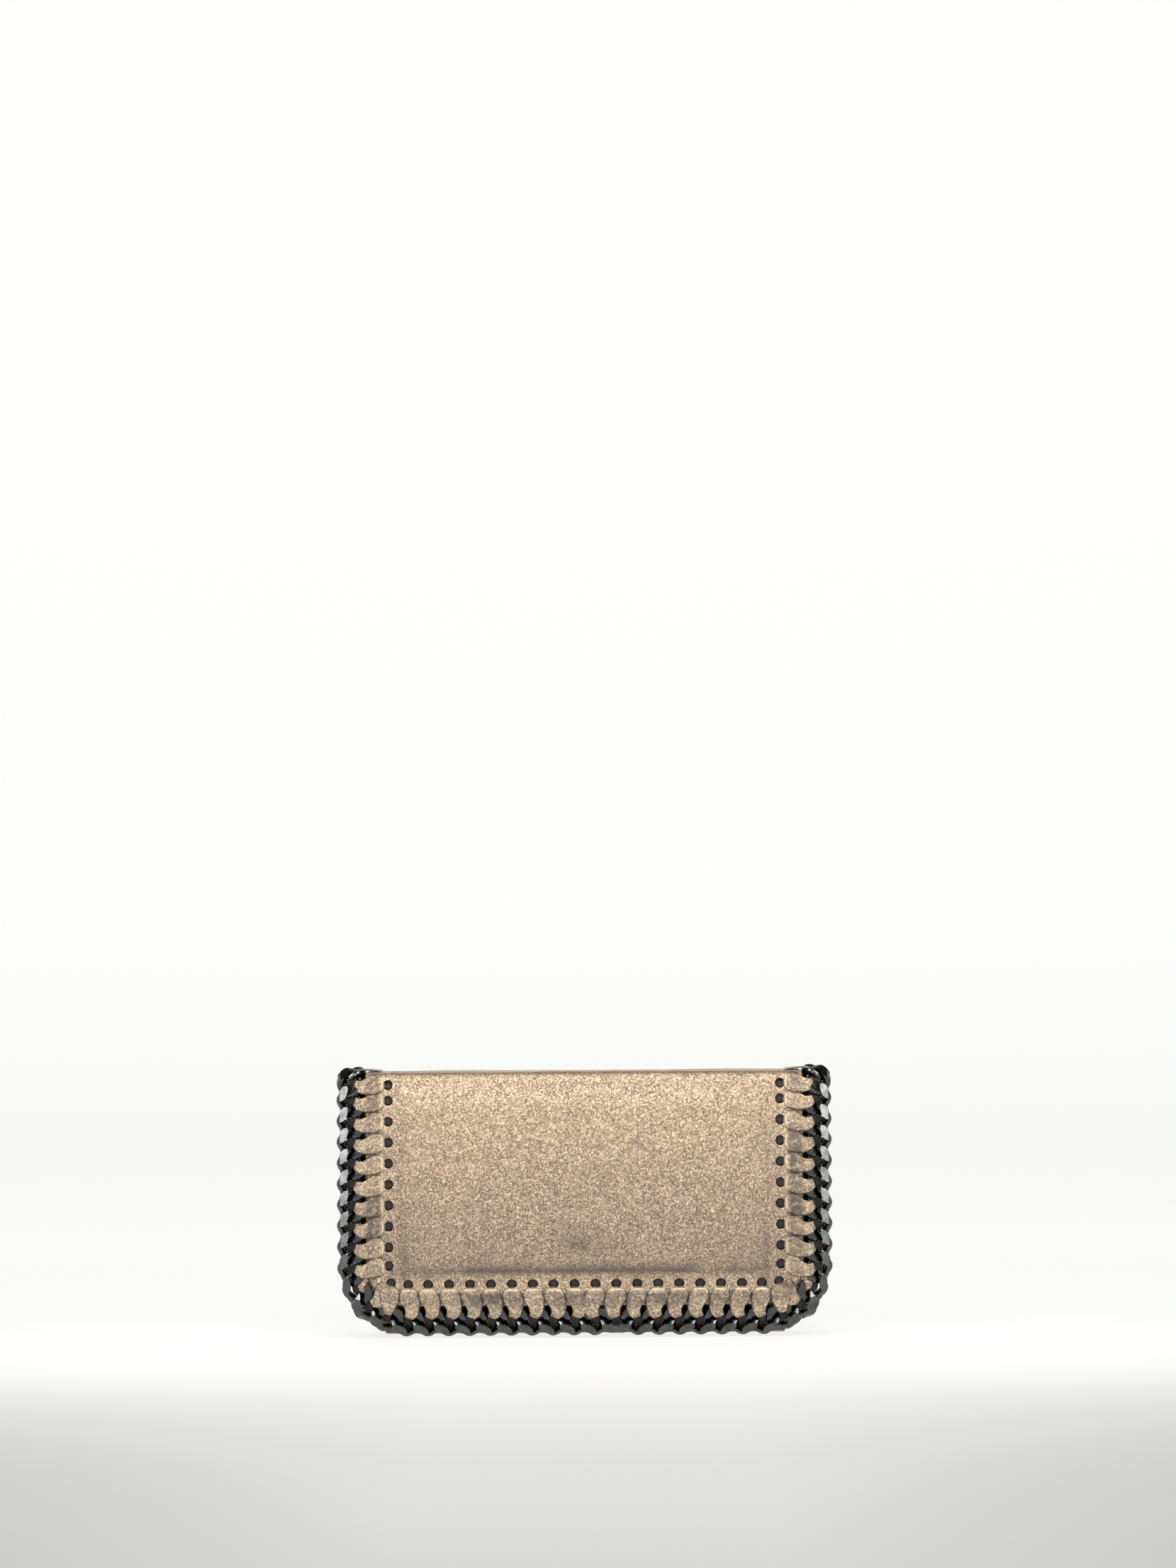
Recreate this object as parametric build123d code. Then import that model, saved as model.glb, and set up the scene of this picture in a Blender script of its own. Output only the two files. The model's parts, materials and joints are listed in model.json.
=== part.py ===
"""Fold-over wallet trimmed with a curb chain that is laced on round its edge.

Millimetres. X is the width, -Y the flap's front, +Z up. The wallet stands on its base, and the origin is the
middle of its footprint. The flap and the back hang from two fold lines along X, at the edges of the spine strip.
"""
from build123d import *
import math
import os

# ---- shell of the wallet
MID_Y = 13.2            # distance of the flap's and the back's mid-plane from the centre plane
FOLD_Z = 100.1          # height of the two fold lines
SHELL_T = 3.4           # thickness of flap, spine and back: leather, board and lining together
LEATHER_T = 1.5         # outer leather
PANEL_HALF_W = 84.9     # half width of the leather panels, inside the chain
FOLD_GAP = 0.25         # room between a fold's bead and the panel edge beside it
BOARD_T = 0.9
BOARD_HALF_W = 71.0
PAD_RISE = 0.7          # raised centre of the flap
PAD_HALF_W = 71.0
PAD_LOW, PAD_HIGH = 23.0, 93.0

# ---- chain
WIRE = 2.4              # wire thickness of a link
KNUCKLE_R = 1.27        # rounded knuckle where an end ring meets a side bar
END_R = 4.4             # radius of a link's round ends, to the middle of the wire
LINK_HALF = 5.6         # half length of a link, to the middle of the wire
END_TILT = 36.0         # tilt of a link's end about the chain's line; the two ends tilt opposite ways
GROUND = 2.4            # half thickness of the chain after its faces are ground flat
CHAIN_X = 90.33         # middle line of the chain on the sides
FLAP_LINKS = 42
BACK_LINKS = 42
FLAP_CHAIN_LOW, FLAP_CHAIN_R = 5.4, 22.0
BACK_CHAIN_LOW, BACK_CHAIN_R = 4.9, 15.0
FOLD_SKIP = 9.2         # distance from a fold line to the first whole link beside it
FOLD_LINK_INSET = 3.4   # how far the link in a fold cuts the corner
JOINING_INDEX = 1       # which link closes the chain, counted from the middle of the bottom

# ---- laces and their holes
LACE_W, LACE_T = 1.9, 0.6
LACE_CLEAR = 0.3        # room between a lace and the leather, and between a lace and the chain's ground faces
HOLE_INSET = 14.2       # distance from the chain's middle line to a lace hole
HOLE_R = 1.6
EYE_OFFSET = 1.9        # where a lace goes through a link, measured from the chain's middle line
CORNER_HOLE_INSET = 12.0
BAR_REACH = 3.4         # how far from the eye a lace stays at the chain's full thickness

# ---- inside
INNER_HALF_W = 82.0
FRONT_Y = -9.7          # front face of the front panel
FRONT_TOP = 87.0
POCKET_TOP = 78.0
CARD_LAYER_T = 0.5
FRONT_LEATHER_T, FRONT_BOARD_T, FRONT_LINING_T = 1.0, 0.5, 0.6
POCKET_WALL_Y, POCKET_WALL_T = 1.2, 0.6
CARD_PANEL_Y = 9.1       # front face of the rear card panel
CARD_STEPS = 3
ZIP_HALF = 66.0
TOOTH_PITCH = 2.5
TAPE_Y = 0.9            # inner face of a zip tape
SNAP_Z = 32.0
PANEL_LOW = 3.0         # lower edge of the front panel and of the zip pocket, just clear of the base strip
BASE_T, BASE_HALF_W = 1.4, 78.0


def slab(outline, y_low, y_high):
    """Extrude an outline drawn in X and Z between two depths."""
    return Pos(0, y_high, 0) * Rot(90, 0, 0) * extrude(outline, y_high - y_low)


def block(x_low, x_high, y_low, y_high, z_low, z_high):
    size = (x_high - x_low, y_high - y_low, z_high - z_low)
    middle = ((x_high + x_low) / 2, (y_high + y_low) / 2, (z_high + z_low) / 2)
    return Pos(*middle) * Box(*size)


def rod_x(x_low, x_high, y, z, radius):
    return Pos((x_low + x_high) / 2, y, z) * Rot(0, 90, 0) * Cylinder(radius, x_high - x_low)


def rod_y(x, z, y_low, y_high, radius):
    return Pos(x, (y_low + y_high) / 2, z) * Rot(90, 0, 0) * Cylinder(radius, y_high - y_low)


def round_bottomed(half_w, low, high, radius):
    """Rectangle with its two lower corners rounded."""
    flat = Pos(0, (low + high) / 2) * Rectangle(2 * half_w, high - low)
    return fillet(flat.vertices().sort_by(Axis.Y)[:2], radius)


def write(name, shape):
    export_step(shape, f"parts/{name}.step")


# ---- chain -----------------------------------------------------------------------------------------

def link_end(tilt, side, wire):
    """Half ring at one end of a link (side +1 or -1), tilted about the chain's line."""
    half = Rot(0, 0, -90) * Torus(END_R, wire / 2, major_angle=180, align=None)
    if side < 0:
        half = Rot(0, 0, 180) * half
    return Rot(tilt, 0, 0) * (Pos(side * (LINK_HALF - END_R), 0, 0) * half)


def link_bar(start_tilt, end_tilt, side, wire):
    """Straight bar that joins the two end rings on one side of a link."""
    reach = LINK_HALF - END_R

    def corner(x, tilt):
        turn = math.radians(tilt)
        return Vector(x, side * END_R * math.cos(turn), side * END_R * math.sin(turn))

    start, end = corner(-reach, start_tilt), corner(reach, end_tilt)
    along = end - start
    lower = Plane(origin=start, z_dir=along)
    bar = lower * Cylinder(wire / 2, along.length, align=(Align.CENTER, Align.CENTER, Align.MIN))
    return bar + Pos(*start) * Sphere(KNUCKLE_R) + Pos(*end) * Sphere(KNUCKLE_R)


def curb_link(start_tilt, end_tilt, wire=WIRE, ground=GROUND):
    """One link: two half rings, two bars, and both faces ground flat."""
    bars = link_bar(start_tilt, end_tilt, 1, wire) + link_bar(start_tilt, end_tilt, -1, wire)
    link = link_end(start_tilt, -1, wire) + bars + link_end(end_tilt, 1, wire)
    return link & Box(4 * LINK_HALF, 4 * LINK_HALF, 2 * ground)


def edge_point(s, low, radius):
    """Point and direction at arc length s along the chain's U-shaped line, s = 0 at the middle of the bottom."""
    side = 1 if s >= 0 else -1
    flat = CHAIN_X - radius
    arc = radius * math.pi / 2
    run = abs(s)
    if run <= flat:
        return (side * run, low), (1, 0)
    if run <= flat + arc:
        turn = (run - flat) / radius
        x = flat + radius * math.sin(turn)
        z = low + radius * (1 - math.cos(turn))
        return (side * x, z), (math.cos(turn), side * math.sin(turn))
    return (side * CHAIN_X, low + radius + run - flat - arc), (0, side)


def half_length(low, radius):
    """Arc length from the middle of the bottom to the fold line."""
    return (CHAIN_X - radius) + radius * math.pi / 2 + (FOLD_Z - low - radius)


def link_places(count, low, radius):
    """Middle arc length of each link, evenly spread between the two ends of the line."""
    reach = half_length(low, radius) - FOLD_SKIP
    pitch = 2 * reach / (count - 1)
    return [(i - count // 2, (i - (count - 1) / 2) * pitch) for i in range(count)]


def edge_plane(s, low, radius, y, face):
    """Local frame at s: x along the chain, y towards the panel's middle, z out of the panel's face."""
    (x, z), (dx, dz) = edge_point(s, low, radius)
    return Plane(origin=(x, y, z), x_dir=(-face * dx, 0, -face * dz), z_dir=(0, face, 0))


LEFT_LINK = curb_link(-END_TILT, END_TILT)
RIGHT_LINK = curb_link(END_TILT, -END_TILT)
JOINING_LINKS = {face: curb_link(face * END_TILT, face * END_TILT, ground=GROUND + 0.1) for face in (-1, 1)}


def edge_chain(count, low, radius, y, face):
    """Links of one panel, sorted into left, bottom, right and joining groups (left is -X)."""
    groups = {"left": [], "bottom": [], "right": [], "joining": []}
    corner = CHAIN_X - radius
    for index, s in link_places(count, low, radius):
        place = edge_plane(s, low, radius, y, face)
        if index == JOINING_INDEX:
            groups["joining"].append(place * JOINING_LINKS[face])
            continue
        link = LEFT_LINK if index < JOINING_INDEX else RIGHT_LINK
        side = "bottom" if abs(s) < corner + 2 else ("left" if s < 0 else "right")
        groups[side].append(place * link)
    return groups


def fold_link(y_side, x_side):
    """The link that cuts the corner of a fold, half turned between its neighbours."""
    inset = FOLD_LINK_INSET / math.sqrt(2)
    middle = (x_side * CHAIN_X, y_side * (MID_Y - inset), FOLD_Z - inset)
    turn = math.sqrt(0.5)
    inward = Plane(origin=middle, x_dir=(0, x_side * turn, -x_side * y_side * turn),
                   z_dir=(0, y_side * turn, turn))
    hand = LEFT_LINK if x_side < 0 else RIGHT_LINK
    return inward * hand


def spine_link(y, x_side):
    place = Plane(origin=(x_side * CHAIN_X, y, FOLD_Z), x_dir=(0, x_side, 0), z_dir=(0, 0, 1))
    return place * (LEFT_LINK if x_side < 0 else RIGHT_LINK)


# ---- laces -----------------------------------------------------------------------------------------

def loop_outline(reach, spread):
    """Side view of a lace's loop, from the link's eye to the hole; spread moves it outwards."""
    thin = SHELL_T / 2 + LACE_CLEAR + spread
    thick = GROUND + LACE_CLEAR + spread
    ends = (LACE_T / 2 - spread, reach - LACE_T / 2 + spread)
    side = [(ends[0], thick), (BAR_REACH, thick), (BAR_REACH + 2.5, thin), (ends[1], thin)]
    mirrored = [(u, -v) for u, v in reversed(side)]
    return make_face(Polyline(*side, *mirrored, close=True))


def lace_at(place, hole_inset):
    """Lace in the local frame of a link: through its eye, over its inner bar and through the panel's hole."""
    reach = hole_inset - EYE_OFFSET
    band = extrude(loop_outline(reach, LACE_T) - loop_outline(reach, 0), LACE_W)
    upright = Pos(-LACE_W / 2, EYE_OFFSET, 0) * Plane.YZ.location * band
    return place * upright


def lace_stations(count, low, radius):
    """Arc lengths that carry a lace, with the inset of their holes; a corner has one."""
    flat = CHAIN_X - radius
    arc_middle = flat + radius * math.pi / 4
    corner_end = flat + radius * math.pi / 2
    stations = []
    for index, s in link_places(count, low, radius):
        run = abs(s)
        if run < flat + 2 or run > corner_end - 2:
            stations.append((s, HOLE_INSET))
        elif abs(run - arc_middle) < 4:
            stations.append((s, CORNER_HOLE_INSET))
    return stations


def lace_groups(count, low, radius, y, face):
    groups = {"left": [], "bottom": [], "right": []}
    corner = CHAIN_X - radius
    for s, inset in lace_stations(count, low, radius):
        side = "bottom" if abs(s) < corner + 2 else ("left" if s < 0 else "right")
        groups[side].append(lace_at(edge_plane(s, low, radius, y, face), inset))
    return groups


def hole_cutters(count, low, radius, y):
    """Round holes through a panel, one for each lace."""
    cutters = []
    for s, inset in lace_stations(count, low, radius):
        place = edge_plane(s, low, radius, y, -1)
        cutters.append(place * (Pos(0, inset, 0) * Cylinder(HOLE_R, 3 * SHELL_T)))
    return cutters


# ---- outer shell -----------------------------------------------------------------------------------

def shell_panel(y_side, low, radius, count):
    """Leather, board and lining of the flap (y_side -1) or the back (+1), with lace holes."""
    outer_y = y_side * (MID_Y + SHELL_T / 2)
    seam_y = y_side * (MID_Y + SHELL_T / 2 - LEATHER_T)
    board_y = y_side * (MID_Y + SHELL_T / 2 - LEATHER_T - BOARD_T)
    inner_y = y_side * (MID_Y - SHELL_T / 2)
    edge_inset = CHAIN_X - PANEL_HALF_W
    outline = round_bottomed(PANEL_HALF_W, low + edge_inset, FOLD_Z, radius - edge_inset)
    lining_top = FOLD_Z - SHELL_T / 2 - 2 * FOLD_GAP
    lining_outline = round_bottomed(PANEL_HALF_W, low + edge_inset, lining_top, radius - edge_inset)
    board_outline = round_bottomed(BOARD_HALF_W, low + HOLE_INSET + 4, lining_top - 3, 8)
    leather = slab(outline, *sorted((outer_y, seam_y)))
    leather -= rod_x(-PANEL_HALF_W - 1, PANEL_HALF_W + 1, y_side * MID_Y, FOLD_Z, SHELL_T / 2 + FOLD_GAP)
    board = slab(board_outline, *sorted((seam_y, board_y)))
    lining = slab(lining_outline, *sorted((seam_y, inner_y))) - board
    for cutter in hole_cutters(count, low, radius, y_side * MID_Y):
        leather -= cutter
        lining -= cutter
    return leather, board, lining


def raised_pad():
    """Low padded rise in the middle of the flap's leather."""
    face_y = -(MID_Y + SHELL_T / 2)
    outline = Pos(0, (PAD_LOW + PAD_HIGH) / 2) * RectangleRounded(2 * PAD_HALF_W, PAD_HIGH - PAD_LOW, 10)
    rise = slab(outline, face_y - PAD_RISE, face_y + LEATHER_T / 2)
    front = rise.faces().sort_by(Axis.Y)[0]
    return chamfer(front.edges(), PAD_RISE * 0.6)


def spine_leather():
    """Top strip with a round bead on each fold line."""
    top = FOLD_Z + SHELL_T / 2
    strip = block(-PANEL_HALF_W, PANEL_HALF_W, -MID_Y, MID_Y, top - LEATHER_T, top)
    for y_side in (-1, 1):
        strip += rod_x(-PANEL_HALF_W, PANEL_HALF_W, y_side * MID_Y, FOLD_Z, SHELL_T / 2)
    return strip


def spine_lining():
    half = MID_Y - SHELL_T / 2
    top = FOLD_Z + SHELL_T / 2 - LEATHER_T
    return block(-PANEL_HALF_W, PANEL_HALF_W, -half, half, FOLD_Z - SHELL_T / 2, top)


def spine_stations():
    return [-(MID_Y - FOLD_SKIP), MID_Y - FOLD_SKIP]


def spine_holes():
    return [Pos(x_side * (CHAIN_X - HOLE_INSET), y, FOLD_Z) * Cylinder(HOLE_R, 3 * SHELL_T)
            for x_side in (-1, 1) for y in spine_stations()]


def spine_lace(y, x_side):
    place = Plane(origin=(x_side * CHAIN_X, y, FOLD_Z), x_dir=(0, x_side, 0), z_dir=(0, 0, 1))
    return lace_at(place, HOLE_INSET)


# ---- inside ----------------------------------------------------------------------------------------

def card_column(x_side, back_y, direction):
    """Column of stepped card slots; the layers stack away from back_y and each has a thin card gap."""
    near, far = 1.5, 74.0
    x_low, x_high = sorted((x_side * near, x_side * far))
    column = None
    for step in range(CARD_STEPS):
        y_a = back_y + direction * CARD_LAYER_T * step
        y_b = back_y + direction * CARD_LAYER_T * (step + 1)
        layer = block(x_low, x_high, *sorted((y_a, y_b)), 8.0, 74.0 - 9.0 * step)
        column = layer if column is None else column + layer
    for step in range(1, CARD_STEPS):
        y_mid = back_y + direction * CARD_LAYER_T * step
        gap = block(x_low + 3, x_high - 3, y_mid - 0.1, y_mid + 0.1, 22.0, 80.0)
        column -= gap
    return column


def inner_sheet(y_low, y_high, low, top, radius=6.0):
    return slab(round_bottomed(INNER_HALF_W, low, top, radius), y_low, y_high)


def gusset(x_side, y_low, y_high, top):
    """Pleated side wall: a V in plan that folds inwards."""
    wall = 0.8
    outer_x, fold_x = INNER_HALF_W - 1.0, INNER_HALF_W - 6.0
    mid_y = (y_low + y_high) / 2
    points = [(outer_x, y_low), (outer_x, y_low + wall), (fold_x + wall, mid_y), (outer_x, y_high - wall),
              (outer_x, y_high), (fold_x - wall, mid_y)]
    outline = make_face(Polyline(*[(x_side * x, y) for x, y in points], close=True))
    return Pos(0, 0, 9.0) * extrude(outline, top - 9.0)


def zip_teeth(y_side):
    """Every second tooth of the closed zip, on one tape."""
    count = int(ZIP_HALF / TOOTH_PITCH)
    first = -count if y_side < 0 else 1 - count
    y_low, y_high = sorted((-y_side * 0.7, y_side * TAPE_Y))
    return [block(i * TOOTH_PITCH - 0.9, i * TOOTH_PITCH + 0.9, y_low, y_high, POCKET_TOP + 1.0, POCKET_TOP + 3.0)
            for i in range(first, count + 1, 2)]


def zip_tape(y_side):
    y_low, y_high = sorted((y_side * TAPE_Y, y_side * POCKET_WALL_Y))
    return block(-ZIP_HALF - 6, ZIP_HALF + 6, y_low, y_high, POCKET_TOP - 10, POCKET_TOP + 3.2)


SLIDER_X = -ZIP_HALF + 8.0
SLIDER_Z = POCKET_TOP + 2.0
PULL_AXIS_Z = POCKET_TOP + 5.6


def zip_slider():
    """Sleeve over the teeth, open below for the tapes, with a bridge for the pull on top."""
    top = block(SLIDER_X - 4, SLIDER_X + 4, -3.2, 3.2, POCKET_TOP + 3.6, POCKET_TOP + 4.5)
    sides = [block(SLIDER_X - 4, SLIDER_X + 4, *sorted((s * 2.4, s * 3.2)), POCKET_TOP - 0.5, POCKET_TOP + 3.6)
             for s in (-1, 1)]
    ears = [block(SLIDER_X - 1.2, SLIDER_X + 1.2, *sorted((s * 1.5, s * 2.3)), POCKET_TOP + 4.5, POCKET_TOP + 6.8)
            for s in (-1, 1)]
    pin = rod_y(SLIDER_X, PULL_AXIS_Z, -1.5, 1.5, 0.6)
    slider = top + sides[0] + sides[1] + ears[0] + ears[1] + pin
    return slider


def zip_pull():
    """Flat tab with an eye round the slider's pin."""
    eye = rod_y(SLIDER_X, PULL_AXIS_Z, -1.1, 1.1, 1.05) - rod_y(SLIDER_X, PULL_AXIS_Z, -2, 2, 0.65)
    neck = block(SLIDER_X + 0.85, SLIDER_X + 5.0, -1.1, 1.1, PULL_AXIS_Z - 0.5, PULL_AXIS_Z + 0.5)
    tab_outline = Pos(SLIDER_X + 9.0, 0) * RectangleRounded(9.0, 5.0, 1.5)
    tab = Pos(0, 0, PULL_AXIS_Z - 0.5) * extrude(tab_outline, 1.0)
    return eye + neck + tab


def build():
    os.makedirs("parts", exist_ok=True)

    # flap
    flap_y = -MID_Y
    leather, board, lining = shell_panel(-1, FLAP_CHAIN_LOW, FLAP_CHAIN_R, FLAP_LINKS)
    socket_y = -(MID_Y - SHELL_T / 2)
    lining -= rod_y(0, SNAP_Z, socket_y - 1.0, socket_y + 1, 7.1)
    write("flap_leather", leather + raised_pad())
    write("flap_board", board - rod_y(0, SNAP_Z, socket_y - 9, socket_y + 9, 3.0))
    write("flap_lining", lining - rod_y(0, SNAP_Z, socket_y - 1.6, socket_y + 1, 3.4))
    socket = rod_y(0, SNAP_Z, socket_y - 0.9, socket_y, 7.0) - rod_y(0, SNAP_Z, socket_y - 2, socket_y + 2, 3.3)
    write("snap_socket", socket)
    chain = edge_chain(FLAP_LINKS, FLAP_CHAIN_LOW, FLAP_CHAIN_R, flap_y, -1)
    laces = lace_groups(FLAP_LINKS, FLAP_CHAIN_LOW, FLAP_CHAIN_R, flap_y, -1)
    for side in ("left", "bottom", "right"):
        write(f"flap_chain_{side}", Compound(children=chain[side]))
        write(f"flap_lace_{side}", Compound(children=laces[side]))
    write("flap_chain_joining_link", Compound(children=chain["joining"]))

    # back
    leather, board, lining = shell_panel(1, BACK_CHAIN_LOW, BACK_CHAIN_R, BACK_LINKS)
    write("back_leather", leather)
    write("back_board", board)
    write("back_lining", lining)
    chain = edge_chain(BACK_LINKS, BACK_CHAIN_LOW, BACK_CHAIN_R, MID_Y, 1)
    laces = lace_groups(BACK_LINKS, BACK_CHAIN_LOW, BACK_CHAIN_R, MID_Y, 1)
    for side in ("left", "bottom", "right"):
        write(f"back_chain_{side}", Compound(children=chain[side]))
        write(f"back_lace_{side}", Compound(children=laces[side]))
    write("back_chain_joining_link", Compound(children=chain["joining"]))

    # spine
    strip, liner = spine_leather(), spine_lining()
    for cutter in spine_holes():
        strip -= cutter
        liner -= cutter
    write("spine_leather", strip)
    write("spine_lining", liner)
    for x_side, side in ((-1, "left"), (1, "right")):
        write(f"spine_chain_{side}", Compound(children=[spine_link(y, x_side) for y in spine_stations()]))
        write(f"spine_lace_{side}", Compound(children=[spine_lace(y, x_side) for y in spine_stations()]))
    for y_side, name in ((-1, "front"), (1, "rear")):
        write(f"fold_chain_{name}", Compound(children=[fold_link(y_side, x_side) for x_side in (-1, 1)]))

    # front panel
    y = FRONT_Y
    board_y = y + FRONT_LEATHER_T
    lining_y = board_y + FRONT_BOARD_T
    card_y = lining_y + FRONT_LINING_T
    leather = inner_sheet(y, board_y, PANEL_LOW, FRONT_TOP) - rod_y(0, SNAP_Z, y - 1, y + 0.7, 7.1)
    stud = rod_y(0, SNAP_Z, y - 0.2, y + 0.7, 7.0) + rod_y(0, SNAP_Z, y - 2.4, y, 2.6)
    write("front_leather", leather)
    write("front_board", slab(round_bottomed(INNER_HALF_W - 2, 6.0, FRONT_TOP - 2, 5), board_y, lining_y))
    write("front_lining", inner_sheet(lining_y, card_y, PANEL_LOW, FRONT_TOP))
    write("snap_stud", stud)
    for x_side, side in ((-1, "left"), (1, "right")):
        write(f"front_card_slots_{side}", card_column(x_side, card_y, 1))

    # zip pocket
    wall_out = POCKET_WALL_Y + POCKET_WALL_T
    write("zip_pocket_front_wall", inner_sheet(-wall_out, -POCKET_WALL_Y, PANEL_LOW, POCKET_TOP))
    write("zip_pocket_rear_wall", inner_sheet(POCKET_WALL_Y, wall_out, PANEL_LOW, POCKET_TOP))
    for y_side, name in ((-1, "front"), (1, "rear")):
        write(f"zip_tape_{name}", zip_tape(y_side))
        write(f"zip_teeth_{name}", Compound(children=zip_teeth(y_side)))
    stops = [block(x - 1.0, x + 1.0, -0.75, 0.75, POCKET_TOP + 0.8, POCKET_TOP + 3.2)
             for x in (-ZIP_HALF - 2.5, ZIP_HALF + 2.5)]
    write("zip_stops", Compound(children=stops))
    write("zip_slider", zip_slider())
    write("zip_pull", zip_pull())

    # rear inside
    write("rear_card_panel", inner_sheet(CARD_PANEL_Y, CARD_PANEL_Y + 0.8, BASE_T, 84.0))
    for x_side, side in ((-1, "left"), (1, "right")):
        write(f"rear_card_slots_{side}", card_column(x_side, CARD_PANEL_Y, -1))
        write(f"gusset_front_{side}", gusset(x_side, card_y + 0.2, -wall_out - 0.2, POCKET_TOP - 2))
        write(f"gusset_rear_{side}", gusset(x_side, wall_out + 0.2, CARD_PANEL_Y - 0.2, POCKET_TOP - 2))
    write("base_strip", block(-BASE_HALF_W, BASE_HALF_W, FRONT_Y + 0.2, CARD_PANEL_Y + 0.8, 0.0, BASE_T))


build()
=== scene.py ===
"""Looks of a fold-over wallet whose edge is laced to a curb chain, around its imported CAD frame."""
import json
import math
import random

import bmesh
import bpy
import numpy as np
from mathutils import Matrix, Vector, noise


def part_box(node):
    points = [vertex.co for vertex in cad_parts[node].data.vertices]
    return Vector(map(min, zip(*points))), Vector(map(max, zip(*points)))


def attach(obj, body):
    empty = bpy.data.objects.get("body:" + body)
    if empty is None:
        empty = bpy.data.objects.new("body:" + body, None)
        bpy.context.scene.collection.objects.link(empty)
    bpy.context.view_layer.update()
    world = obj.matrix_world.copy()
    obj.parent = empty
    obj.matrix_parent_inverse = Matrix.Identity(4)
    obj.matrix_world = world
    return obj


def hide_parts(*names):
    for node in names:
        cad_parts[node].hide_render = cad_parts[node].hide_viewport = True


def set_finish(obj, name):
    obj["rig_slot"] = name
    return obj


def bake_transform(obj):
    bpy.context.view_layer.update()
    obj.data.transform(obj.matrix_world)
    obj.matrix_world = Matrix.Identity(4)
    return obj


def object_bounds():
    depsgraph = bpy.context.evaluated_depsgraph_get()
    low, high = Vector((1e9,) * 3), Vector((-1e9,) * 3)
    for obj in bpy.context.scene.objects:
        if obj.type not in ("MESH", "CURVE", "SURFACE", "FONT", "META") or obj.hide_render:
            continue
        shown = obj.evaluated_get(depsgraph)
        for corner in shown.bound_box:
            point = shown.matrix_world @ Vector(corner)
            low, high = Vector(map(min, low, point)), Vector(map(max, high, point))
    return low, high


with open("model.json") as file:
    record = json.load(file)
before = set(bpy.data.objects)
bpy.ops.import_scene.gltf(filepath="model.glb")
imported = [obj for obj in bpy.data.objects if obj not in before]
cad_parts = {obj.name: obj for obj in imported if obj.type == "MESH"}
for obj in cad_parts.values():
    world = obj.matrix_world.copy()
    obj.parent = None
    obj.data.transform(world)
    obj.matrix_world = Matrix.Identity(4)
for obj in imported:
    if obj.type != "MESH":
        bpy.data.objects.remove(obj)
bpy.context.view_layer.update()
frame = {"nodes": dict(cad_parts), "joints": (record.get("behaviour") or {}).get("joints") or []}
joints = {j["name"]: j for j in frame["joints"]}
random.seed(7)

MM = 0.001


def mm(value):
    return value * 1000.0


# ---- sizes that the CAD gives, in millimetres
MID_Y = mm(joints["spine_fold"]["pos_m"][1])
FOLD_Z = mm(joints["spine_fold"]["pos_m"][2])
PANEL_HALF_W = mm(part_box("flap_leather")[1].x)
FLAP_EDGE_Z = mm(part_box("flap_leather")[0].z)
BACK_EDGE_Z = mm(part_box("back_leather")[0].z)
SHELL_T = 2 * (mm(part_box("back_leather")[1].y) - MID_Y)
HALF_T = SHELL_T / 2
OUTER_Y = MID_Y + HALF_T
TOP_Z = FOLD_Z + HALF_T
BOARD_HALF_W = mm(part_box("flap_board")[1].x)

# ---- sizes shared with the CAD source
LEATHER_T, BOARD_T = 1.5, 0.9
FOLD_R = 3.6                  # outer radius of the folded leather
CHAIN_X, END_R, LINK_HALF = 90.33, 4.4, 5.6
WIRE_WIDE, WIRE_THICK = 1.5, 1.4   # half sizes of a link's section, along and across its ring
END_TILT, GROUND = 36.0, 2.4
FLAP_LOW, FLAP_R, BACK_LOW, BACK_R = 5.4, 22.0, 4.9, 15.0
LINKS, FOLD_SKIP, FOLD_INSET, JOINING_INDEX = 42, 9.2, 3.4, 1
HOLE_INSET, CORNER_HOLE_INSET, FOLD_HOLE_Z = 14.2, 12.0, 97.0
CORNER_FAN, CORNER_REACH = 36.9, 13.2   # second lace of a corner hole: its angle from the first, and its length
HOLE_RX, HOLE_RY = 1.95, 1.85  # a hole along the chain and across it
PAD_HALF_W, PAD_LOW, PAD_HIGH = 72.0, 23.0, 97.0


# ---- node materials ----------------------------------------------------------------------------------

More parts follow.
